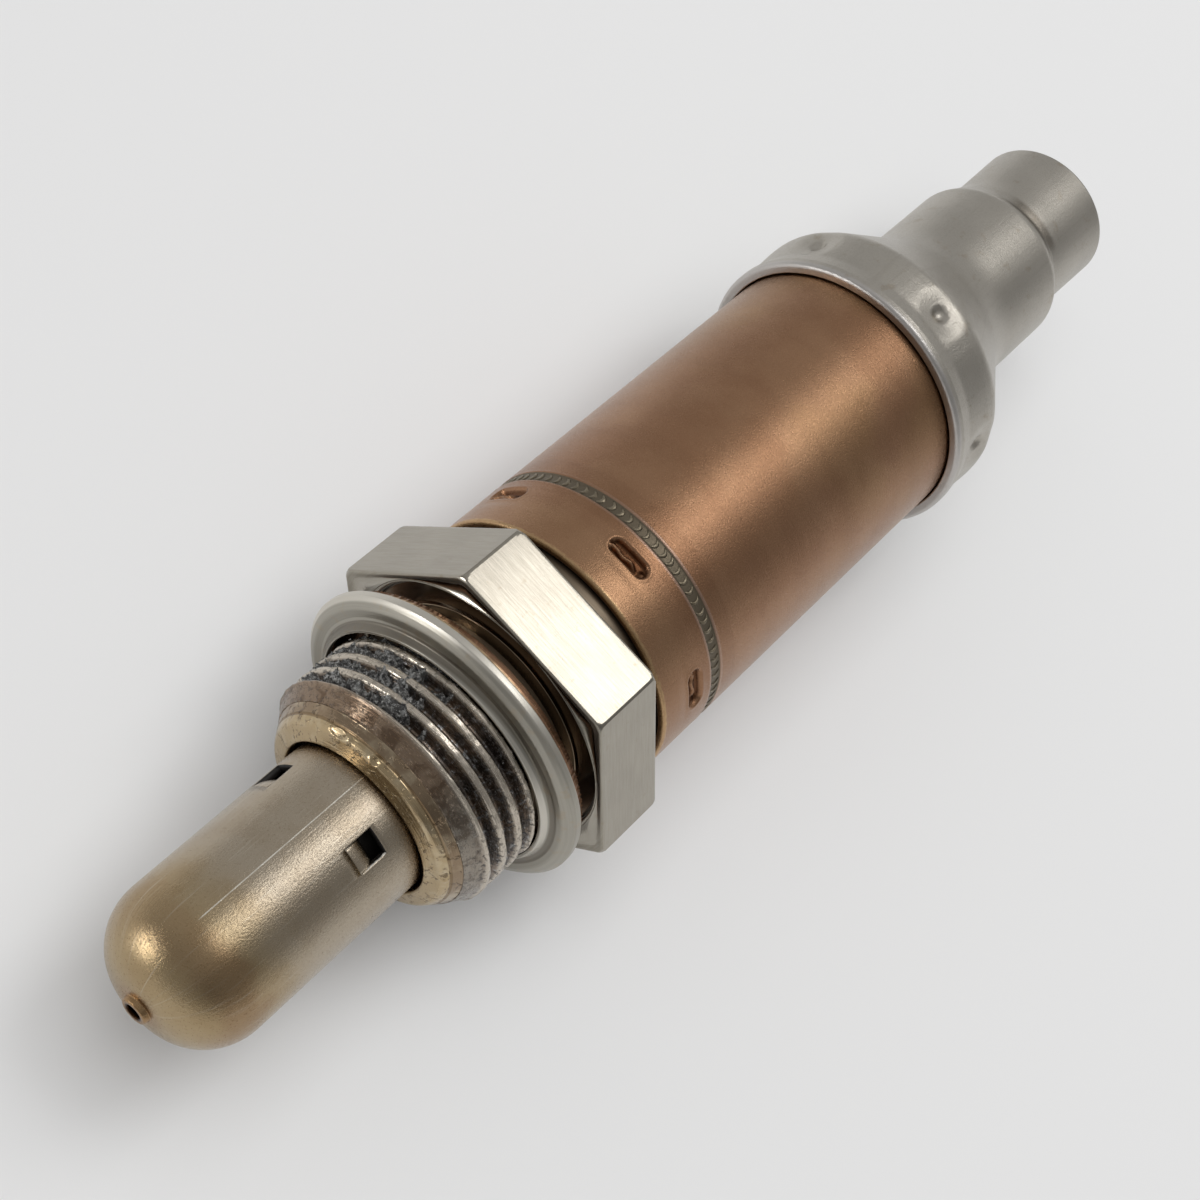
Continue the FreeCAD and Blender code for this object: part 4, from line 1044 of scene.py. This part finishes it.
class SENSOR_OT_lip(bpy.types.Operator):
    """Build the crimped lip that holds the protection tube"""
    bl_idname = "sensor.lip"
    bl_label = "Crimped lip"

    def execute(self, context):
        profile = trace([
            (5.82, 8.12, 0.0), (5.92, 8.03, 0.05), (6.42, 7.72, 0.08), (6.50, 7.60, 0.05),
            (6.62, 7.58, 0.06), (7.02, 7.30, 0.55), (7.35, 6.02, 0.22), (7.1, 5.93, 0.1),
            (6.9, 5.93, 0.0), (6.3, 6.0, 0.0), (6.25, 6.85, 0.0), (5.84, 6.85, 0.0)],
            step=lambda x, r: 0.1 if r > 6.7 and x > 5.85 else COARSE)
        stamps = ((-35.0, 7.0, 6.86), (-11.0, 3.2, 6.85), (62.0, 5.0, 6.86))
        splits = ((12.0, 0.30), (47.5, 0.30), (-40.0, 0.28), (-75.0, 0.3), (84.0, 0.3))

        def struck(station, radius, turn):
            """Shallow oval stamps and fine splits in the lip's cone."""
            outside = (radius > 6.9) & (station > 5.95)
            lift = np.zeros_like(radius)
            for middle, half, at in stamps:
                along = wrapped(turn - middle) / half
                down = (station - at) / 0.24
                reach = np.sqrt(along ** 2 + down ** 2)
                lift += 0.07 * bell((reach - 0.95) / 0.20) - 0.08 * np.exp(-(reach / 0.6) ** 4)
            for middle, width in splits:
                split = bell(wrapped(turn - middle + (station - 6.8) * 3.0) / width)
                lift -= 0.05 * split * unit((station - 6.5) / 0.1) * unit((7.3 - station) / 0.15)
            return station, radius + np.where(outside, lift, 0.0)

        piece = turned("crimped_lip", profile, ring_angles(480), [lip_steel(
            context.scene.sensor_finishes)], struck)
        belongs(piece, "sensor_body")
        return {"FINISHED"}


class SENSOR_OT_paste(bpy.types.Operator):
    """Build the dried paste in the thread by its rule"""
    bl_idname = "sensor.paste"
    bl_label = "Thread paste"

    def execute(self, context):
        sizes = context.scene.sensor_paste_sizes
        back, front, limit = -0.6, 4.95, 9.08
        profile = trace([(back, 7.5), (back, 8.2), (front, 8.2), (front, 7.5)],
                        step=lambda x, r: 0.08 if r > 8.1 else COARSE)
        piece = turned("thread_paste", profile, ring_angles(420), [])
        apply_tree(piece, paste_tree(), {
            "Level": sizes.level, "Lump": sizes.lump, "Limit": limit * MM, "Seed": sizes.seed,
            "Middle": sizes.middle, "Material": dried_paste(context.scene.sensor_finishes)})
        belongs(piece, "sensor_body")
        return {"FINISHED"}


class SENSOR_OT_gasket(bpy.types.Operator):
    """Build the folded gasket ring: a dished front leaf over a ribbed rear leaf"""
    bl_idname = "sensor.gasket"
    bl_label = "Gasket ring"

    def execute(self, context):
        sizes, colours = context.scene.sensor_gasket_sizes, context.scene.sensor_finishes
        front = [(4.08, 9.2, .06), (4.1, 9.42, .1), (3.58, 9.72, .15), (3.50, 10.05, .3),
                 (3.52, 10.7, .5), (3.3, 11.15, .4), (3.0, 11.47, .15), (2.5, 11.47, .12),
                 (2.46, 11.2, .1), (2.9, 10.95, .3), (3.15, 10.5, .3), (3.15, 9.7, .2),
                 (3.6, 9.2, .1)]
        rear = [(2.9, 10.7, .1), (2.6, 11.0, .1), (2.1, 10.95, .25), (1.65, 10.75, .15),
                (1.6, 10.4, .05), (1.6, 8.35, .05), (2.05, 8.35, .05), (2.05, 10.2, .15),
                (2.5, 10.5, .15), (2.75, 10.4, .1)]
        fold = fold_steel(colours)
        face = 4.1  # the leaves' stations are counted from the hexagon's front face
        gap = 0.1  # between that face and the ring on the axis

        def leaned(piece):
            """Lays the loose ring as it hangs on the shank, off the axis and a little askew."""
            for vertex in piece.data.vertices:
                vertex.co.x += gap * MM - sizes.lean * vertex.co.y
                vertex.co.y -= sizes.shift
            belongs(piece, "gasket_ring")

        def pressed(station, radius, turn):
            """Slightly uneven pressing of the rim."""
            turns = np.radians(turn)
            wave = 0.025 * np.sin(3 * turns + 0.7) + 0.015 * np.sin(7 * turns + 2.1)
            outer = unit(radius - 10.2)
            return station + wave * outer, radius - np.abs(wave) * outer

        for name, leaf, steel, warp in (
                ("gasket_front_leaf", front, gasket_steel(colours), pressed),
                ("gasket_rear_leaf", rear, fold, None)):
            profile = trace([(s - face, r, c) for s, r, c in leaf], step=lambda x, r: 0.4)
            leaned(turned(name, profile, ring_angles(300), [steel], warp))
        rib = [(-2.42, -0.05, 10.6), (-1.72, -0.05, 10.85), (-1.72, 0.05, 10.85),
               (-2.42, 0.05, 10.6), (-2.38, 0.0, 10.95), (-1.76, 0.0, 11.04)]
        faces = [(0, 1, 2, 3), (0, 4, 5, 1), (2, 5, 4, 3), (0, 3, 4), (1, 5, 2)]
        ribs = new_piece("gasket_ribs", rib, faces)
        apply_tree(ribs, ring_tree(), {
            "Count": sizes.rib_count, "Angle Spread": sizes.rib_jitter, "Size Spread": 0.006,
            "Seed": sizes.seed, "Material": fold})
        leaned(ribs)
        return {"FINISHED"}


class SENSOR_OT_tube(bpy.types.Operator):
    """Build the protection tube with its flange, dome, nozzle and louvre openings"""
    bl_idname = "sensor.tube"
    bl_label = "Protection tube"

    def execute(self, context):
        sizes = context.scene.sensor_tube_sizes
        outer, wall, front, dome, back_end, front_end = in_mm(
            sizes, "radius", "wall", "front", "dome_round", "louvre_back", "louvre_front")
        half = math.degrees(sizes.louvre_width / MM / 2 / outer)
        middles = spaced(sizes.louvre_angle, sizes.louvre_count)
        # The tube's inside and one wall of each window are near-black, soot and painted shade; the
        # other wall is light, bare cut steel and a painted highlight.
        steel, soot_and_shade, lit_cut_edge = 0, 1, 2  # places of the finishes in the piece's slots
        clear = 0.4  # degrees without other columns on both sides of a window's edge
        angles = [a for a in ring_angles(264) if all(
            abs(abs(wrapped(a - m)) - half) > clear for m in middles)]
        angles += [(m + s * half) % 360.0 for m in middles for s in (-1, 1)]
        angles = np.array(sorted(angles))
        stations = sorted({x for start, end, rows in (
            (6.3, back_end, 8), (back_end, front_end, 7), (front_end, front - dome, 16))
            for x in np.linspace(start, end, rows)})
        outside = [(x, outer, steel) for x in stations]
        arc = [math.radians(a) for a in np.linspace(0, 90, 19)][1:]
        outside += [(front - dome + dome * math.sin(a), outer - dome + dome * math.cos(a), steel)
                    for a in arc]
        nozzle = trace([(front, outer - dome - 0.05, 0.0), (front + 0.02, 1.05, 0.06),
                        (front + 0.42, 0.98, 0.16), (front + 0.40, 0.55, 0.14),
                        (front - wall, 0.55, 0.0)], closed=False)
        inside = [(front - dome + (dome - wall) * math.sin(a),
                   outer - dome + (dome - wall) * math.cos(a), soot_and_shade) for a in reversed(arc)]
        inside += [(x, outer - wall, soot_and_shade) for x in reversed(stations)]
        flange = [(x, r, steel) for x, r in (
            (5.7, outer - wall), (5.7, 6.8), (6.15, 6.8), (6.2, 5.85))]
        profile = outside + nozzle + inside + flange
        first = len(outside) + len(nozzle) + len(inside) - 1  # the inner row under outer row 0
        low = min(range(len(stations)), key=lambda k: abs(stations[k] - back_end))
        high = min(range(len(stations)), key=lambda k: abs(stations[k] - front_end))

        def openings(rows, columns):
            """Leaves out the louvres' windows and joins the two skins round each."""
            total = len(columns)
            gone = np.zeros((len(rows), total), bool)
            walls, marks = [], []
            for middle in middles:
                inner = [j for j in range(total) if abs(wrapped(columns[j] - middle)) < half - 0.01]
                run = sorted(inner, key=lambda j: wrapped(columns[j] - middle))
                run = [(run[0] - 1) % total] + run + [(run[-1] + 1) % total]
                for k in range(low, high):
                    for j in run[:-1]:
                        gone[k, j] = True
                        gone[first - k - 1, j] = True
                for k in range(low, high):
                    for j in (run[0], run[-1]):
                        walls.append([k * total + j, (k + 1) * total + j,
                                      (first - k - 1) * total + j, (first - k) * total + j])
                        marks.append(lit_cut_edge if j == run[-1] else soot_and_shade)
                for k in (low, high):
                    for j, after in zip(run[:-1], run[1:]):
                        walls.append([k * total + j, k * total + after,
                                      (first - k) * total + after, (first - k) * total + j])
                        marks.append(soot_and_shade)
            return gone, walls, marks

        finishes = [tube_steel(context.scene.sensor_finishes),
                    cut_steel("louvre_soot_and_shade", (0.012, 0.010, 0.009), 0.55, 0.0),
                    cut_steel("louvre_edge", (0.90, 0.86, 0.78), 0.22)]
        piece = turned("protection_tube_skin", profile, angles, finishes, drop=openings)
        belongs(piece, "protection_tube")
        return {"FINISHED"}


class SENSOR_OT_louvres(bpy.types.Operator):
    """Press in the flaps of the tube's louvres"""
    bl_idname = "sensor.louvres"
    bl_label = "Louvres"

    def execute(self, context):
        sizes = context.scene.sensor_tube_sizes
        outer, wall, front, flap, dip = in_mm(
            sizes, "radius", "wall", "louvre_front", "louvre_flap", "louvre_dip")
        half = math.degrees(sizes.louvre_width / MM / 2 / outer)
        down = np.linspace(0, 1, 10)
        depth = 0.004 + dip * down ** 2.2
        skin = [(front + 0.05 - flap * d, outer - p) for d, p in zip(down, depth)]
        loop = skin + [(x, r - wall) for x, r in reversed(skin)]
        across = np.linspace(-half, half, 9)
        points = [(x, r * math.sin(math.radians(a)), r * math.cos(math.radians(a)))
                  for a in across for x, r in loop]
        piece = new_piece("tube_louvres", points, loft_faces(len(across), len(loop)))
        apply_tree(piece, ring_tree(), {
            "Count": sizes.louvre_count, "First Angle": sizes.louvre_angle,
            "Material": bpy.data.materials["heated_tube_steel"]})
        belongs(piece, "protection_tube")
        return {"FINISHED"}


class SENSOR_OT_sleeve(bpy.types.Operator):
    """Build the sleeve with its crimp dents and the sunk weld seam"""
    bl_idname = "sensor.sleeve"
    bl_label = "Sleeve"

    def execute(self, context):
        sizes = context.scene.sensor_sleeve_sizes
        outer, at, seam, depth, dent_length, dent_width, seam_width = in_mm(
            sizes, "radius", "dent_station", "seam_station", "dent_depth", "dent_length",
            "dent_width", "seam_width")
        long_half, wide_half, seam_half = dent_length / 2, dent_width / 2, seam_width / 2
        middles = spaced(sizes.dent_angle, sizes.dent_count)

        def step(x, r):
            """Fine rows over the dents and the seam, and moderate ones that lead to them."""
            if r < outer - 0.05:
                return COARSE
            if -wide_half - 0.4 < x - at < wide_half + 1.4 or abs(x - seam) < seam_half + 0.25:
                return 0.09
            return 0.2 if x > seam - 1.5 else 2.5

        profile = trace([
            (-11.15, outer, 0.35), (-46.8, outer, 0.3), (-47.3, 10.21, 0.3), (-51.2, 10.21, 0.9),
            (-51.2, 7.0, 0.0), (-50.6, 7.0, 0.0), (-50.6, 9.61, 0.3), (-47.2, 9.61, 0.0),
            (-46.7, 9.9, 0.0), (-11.15, 9.92, 0.12)], step=step)

        def struck(station, radius, turn):
            """Dents with a crinkled floor and a raised lip, and the sunk seam between two beads."""
            outside = radius > outer - 0.02
            fall = np.zeros_like(radius)
            for index, middle in enumerate(middles):
                offset = wrapped(turn - middle)
                around = np.radians(offset) * outer
                along = station - at - 0.03 * np.sin(index * 2.3)
                reach = np.hypot(np.maximum(np.abs(around) - (long_half - wide_half), 0), along)
                bowl = eased(unit((wide_half - reach) / 0.26))
                crinkle = along - 0.17 + 0.07 * np.sin(around * 4.6 + index)
                ridge = bell(crinkle / 0.15) * unit(1.9 - np.abs(around + 0.4) / 0.8)
                ends = bell((np.abs(around) - 1.45) / 0.22, (along - 0.1) / 0.3)
                fall += bowl * (depth - 0.42 * ridge - 0.25 * ends)
                lip = bell((reach - wide_half - 0.10) / 0.11) * (np.abs(offset) < 18)
                fall -= 0.016 * lip
                sag = bell(around / 2.2, (along - 1.0) / 0.45) * (np.abs(offset) < 30)
                fall += 0.06 * sag
            away = np.abs(station - seam)
            fall += 0.09 * unit((seam_half - away) / 0.10)
            fall -= 0.018 * bell((away - seam_half - 0.08) / 0.09)
            return station, np.minimum(np.where(outside, radius - fall, radius), outer + 0.02)

        angles = ring_angles(180, middles, 11.5, 0.45)
        piece = turned("sleeve_skin", profile, angles, [sleeve_copper(
            context.scene.sensor_finishes)], struck)
        belongs(piece, "protective_sleeve")
        return {"FINISHED"}


class SENSOR_OT_seam(bpy.types.Operator):
    """Lay the weld ripples round the sleeve's seam"""
    bl_idname = "sensor.seam"
    bl_label = "Weld seam"

    def execute(self, context):
        sizes = context.scene.sensor_sleeve_sizes
        outer, seam, seam_width = in_mm(sizes, "radius", "seam_station", "seam_width")
        half = seam_width / 2 - 0.06
        rows = np.linspace(-1.0, 1.0, 9)
        points = []
        for v in rows:
            crest = 0.070 * (1 - v ** 4)
            bow = 0.32 * (1 - v ** 2)
            section = ((-0.20, -0.12), (-0.10, crest - 0.01), (0.04, crest), (0.40, -0.12),
                       (0.1, -0.25))
            for offset, lift in section:
                around = (offset - 0.2 + bow) / outer
                radius = outer - 0.07 + lift
                points.append((seam + v * half, radius * math.sin(around),
                               radius * math.cos(around)))
        piece = new_piece("seam_ripples", points, loft_faces(len(rows), len(section)))
        apply_tree(piece, ring_tree(), {
            "Count": sizes.ripple_count, "Angle Spread": sizes.ripple_jitter,
            "Size Spread": 0.0025, "Seed": sizes.seed,
            "Material": seam_oxide(context.scene.sensor_finishes)})
        belongs(piece, "protective_sleeve")
        return {"FINISHED"}


class SENSOR_OT_cap(bpy.types.Operator):
    """Build the end cap with its swelling, shoulder, neck, crease and spout"""
    bl_idname = "sensor.cap"
    bl_label = "End cap"

    def execute(self, context):
        sizes = context.scene.sensor_cap_sizes
        at, hole, deep, wide, shallow = in_mm(
            sizes, "dimple_station", "dimple_radius", "dimple_depth", "hollow_radius",
            "hollow_depth")
        middles = spaced(sizes.dimple_angle, sizes.dimple_count)
        swelling, neck, spout = 11.36, 6.93, 5.88
        shape = [(-45.0, 11.45, 0.35), (-45.8, 11.45, 0.35), (-46.9, 11.22, 1.6),
                 (-49.2, swelling, 1.5), (-50.17, swelling, 2.6), (-57.4, neck, 8.0),
                 (-66.3, neck, 1.2), (-67.8, 5.85, 0.8), (-75.3, 5.95, 0.5), (-75.3, 5.35, 0.2),
                 (-67.6, 5.27, 0.5), (-66.0, 6.35, 0.6), (-57.2, 6.33, 4.0), (-49.9, 10.45, 1.5),
                 (-48.2, 10.45, 0.3), (-47.7, 10.6, 0.3), (-45.0, 10.60, 0.12)]

        def step(x, r):
            """Fine rows over the dimples, and moderate ones on the shoulder and the crease."""
            if abs(x - at) < 2.7 and r > 10.95:
                return 0.22
            return 0.5 if r > 6.5 and x > -60 or r > 5.5 and x < -64 else 1.4

        profile = trace(shape, step=step, arcs=9)

        def pressed(station, radius, turn):
            """Dimples in their hollows, a pinch on top of the crease and a softer crease behind."""
            outer = np.arange(len(profile))[:, None] < int(np.argmin(station[:, 0]))
            outside = outer & (radius > 10.5) & (np.abs(station - at) < 3.0)
            fall = np.zeros_like(radius)
            for middle in middles:
                around = np.radians(wrapped(turn - middle)) * swelling
                reach = np.hypot(around, station - at)
                bowl = unit(1 - (reach / wide) ** 2) ** 2
                fall += shallow * bowl + deep * eased(unit(1.35 - reach / (hole * 0.75)))
            pinch = 0.12 * bell(wrapped(turn) / 16.0) * bell((station + 67.7) / 0.5)
            ramp = neck + (spout - neck) * eased(unit((-65.2 - station) / 4.6))
            away = unit((-15.0 - wrapped(turn)) / 35.0) * unit((wrapped(turn) + 180.0) / 60.0)
            crease = outer & (station < -64.5) & (station > -70.5) & (radius > 5.6)
            softer = away * np.maximum(ramp - radius, 0.0) - pinch
            return station, radius - np.where(outside, fall, 0.0) + np.where(crease, softer, 0.0)

        angles = ring_angles(180, middles, 12.5, 0.9)
        piece = turned("cap_skin", profile, angles, [cap_steel(context.scene.sensor_finishes)],
                       pressed)
        belongs(piece, "end_cap")
        return {"FINISHED"}


class SENSOR_OT_inside(bpy.types.Operator):
    """Give the pieces inside and the cable grommet their finishes"""
    bl_idname = "sensor.inside"
    bl_label = "Inner pieces"

    def execute(self, context):
        colours = context.scene.sensor_finishes
        contact = strip_steel("contact_steel", colours.contact)
        alumina = ceramic("alumina", colours.ceramic)
        inner = {
            "zirconia_thimble": ceramic("zirconia", toned(colours.ceramic, 0.95), 1.0),
            "heater_rod": ceramic("heater_ceramic", (0.82, 0.80, 0.76)),
            "support_tube": alumina, "terminal_carrier": alumina,
            "cable_grommet": moulded_rubber(colours),
            "seat_ring": strip_steel("seal_steel", (0.52, 0.50, 0.46)),
            "disc_spring": strip_steel("spring_steel", (0.46, 0.45, 0.44)),
        }
        for name in ("contact_bush", "clamp_ring", "heater_terminal_right", "heater_terminal_left",
                     "signal_terminal", "ground_terminal"):
            inner[name] = contact
        for name, material in inner.items():
            node = bpy.data.objects.get(name)
            if node is None:
                raise RuntimeError(f"no node {name}")
            if not node.material_slots:
                node.data.materials.append(material)
            for slot in node.material_slots:
                slot.material = material
        return {"FINISHED"}


class SENSOR_OT_stage(bpy.types.Operator):
    """Set the floor, the lights and the camera"""
    bl_idname = "sensor.stage"
    bl_label = "Stage"

    def execute(self, context):
        scene, sizes = context.scene, context.scene.sensor_stage_sizes
        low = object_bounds()[0][2]
        corners = ((-1, -1), (1, -1), (1, 1), (-1, 1))
        mesh = bpy.data.meshes.new("floor")
        mesh.from_pydata([(x * FLOOR_HALF, y * FLOOR_HALF, low) for x, y in corners], [],
                         [(0, 1, 2, 3)])
        floor = bpy.data.objects.new("floor", mesh)
        mesh.materials.append(close_material(new_material("pale_floor"), tuple(sizes.floor), 0.9,
                                             metallic=0.0, Specular_IOR_Level=0.1))
        scene.collection.objects.link(floor)
        floor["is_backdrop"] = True

        def softbox(name, way, distance, width, depth, radiance, glossy=True, diffuse=True):
            """A lamp of width and depth that looks at the origin from a direction."""
            back = Vector(way).normalized()
            along = (Vector((0, 1, 0)) - back * back.y).normalized()
            light = bpy.data.lights.new(name, "AREA")
            light.shape, light.size, light.size_y = "RECTANGLE", width, depth
            light.energy = radiance * math.pi * width * depth  # watts that give this radiance
            lamp = bpy.data.objects.new(name, light)
            turn = Matrix((along.cross(back), along, back)).transposed()
            lamp.matrix_world = Matrix.Translation(back * distance) @ turn.to_4x4()
            lamp.visible_glossy, lamp.visible_diffuse = glossy, diffuse
            lamp.visible_camera = False
            scene.collection.objects.link(lamp)

        softbox("key_light", (-0.462, 0.075, 0.884), 0.494, 0.243, 0.165, sizes.key)
        softbox("front_light", (0.77, -0.63, 0.12), 0.5, 0.10, 0.10, sizes.front, diffuse=False)
        softbox("fill_light", (0.0, 0.0, 1.0), 1.2, 1.2, 1.2, sizes.fill, glossy=False)

        world = bpy.data.worlds.new("surround")
        world.use_nodes = True
        world.node_tree.nodes.clear()
        g = Graph(world.node_tree)
        direction = g.add("ShaderNodeTexCoord", take=None).outputs["Generated"]
        ahead, aside, above = g.split(direction)
        wall = g.times(g.fade(aside, 0.28, 0.60), g.fade(above, 0.10, 0.30))
        end = g.times(g.fade(ahead, 0.15, 0.55), g.fade(above, -0.02, 0.10))
        level = g.times(g.rescale(wall, 0.0, 1.0, 1.0, 0.54), g.rescale(end, 0.0, 1.0, 1.0, 0.70),
                        sizes.surround)
        shade = g.add("ShaderNodeBackground", g.join(level, level, level), 1.0)
        g.add("ShaderNodeOutputWorld", shade)
        scene.world = world

        camera = bpy.data.objects.new("camera", bpy.data.cameras.new("camera"))
        camera.data.sensor_width, camera.data.lens = FRAME_WIDTH, sizes.lens
        camera.data.clip_start, camera.data.clip_end = 0.01, 20.0
        side = Vector(CAMERA_SIDE)
        back = side.cross(Vector(CAMERA_UP)).normalized()
        up = back.cross(side.normalized())
        turn = Matrix((side.normalized(), up, back)).transposed()
        camera.matrix_world = Matrix.Translation(Vector(EYE) * MM) @ turn.to_4x4()
        scene.collection.objects.link(camera)
        scene.camera = camera
        scene.view_settings.view_transform = "Standard"
        return {"FINISHED"}


class SENSOR_PT_parts(bpy.types.Panel):
    """Steps that build the sensor, in their order"""
    bl_idname = "SENSOR_PT_parts"
    bl_label = "Oxygen Sensor"
    bl_space_type = "VIEW_3D"
    bl_region_type = "UI"
    bl_category = "Sensor"

    def draw(self, context):
        for step in STEPS:
            self.layout.operator(step.bl_idname)
        for name in GROUPS:
            group = getattr(context.scene, name)
            box = self.layout.box()
            box.label(text=GROUPS[name].__name__)
            for key in GROUPS[name].__annotations__:
                box.prop(group, key)


STEPS = (SENSOR_OT_hexagon, SENSOR_OT_thread, SENSOR_OT_lip, SENSOR_OT_paste, SENSOR_OT_gasket,
         SENSOR_OT_tube, SENSOR_OT_louvres, SENSOR_OT_sleeve, SENSOR_OT_seam, SENSOR_OT_cap,
         SENSOR_OT_inside, SENSOR_OT_stage)

GROUPS = {
    "sensor_body_sizes": BodySizes, "sensor_gasket_sizes": GasketSizes,
    "sensor_paste_sizes": PasteSizes, "sensor_tube_sizes": TubeSizes,
    "sensor_sleeve_sizes": SleeveSizes, "sensor_cap_sizes": CapSizes,
    "sensor_finishes": Finishes, "sensor_stage_sizes": StageSizes,
}


def register():
    """Adds the sizes, the steps and the panel to Blender."""
    for name, group in GROUPS.items():
        bpy.utils.register_class(group)
        setattr(bpy.types.Scene, name, bpy.props.PointerProperty(type=group))
    for step in STEPS + (SENSOR_PT_parts,):
        bpy.utils.register_class(step)


def unregister():
    """Takes them out again, in the opposite order."""
    for step in reversed(STEPS + (SENSOR_PT_parts,)):
        bpy.utils.unregister_class(step)
    for name, group in reversed(list(GROUPS.items())):
        delattr(bpy.types.Scene, name)
        bpy.utils.unregister_class(group)


def main():
    """Builds every piece in order."""
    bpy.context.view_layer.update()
    register()
    for step in STEPS:
        group, action = step.bl_idname.split(".")
        getattr(getattr(bpy.ops, group), action)()


if __name__ == "__main__":
    main()
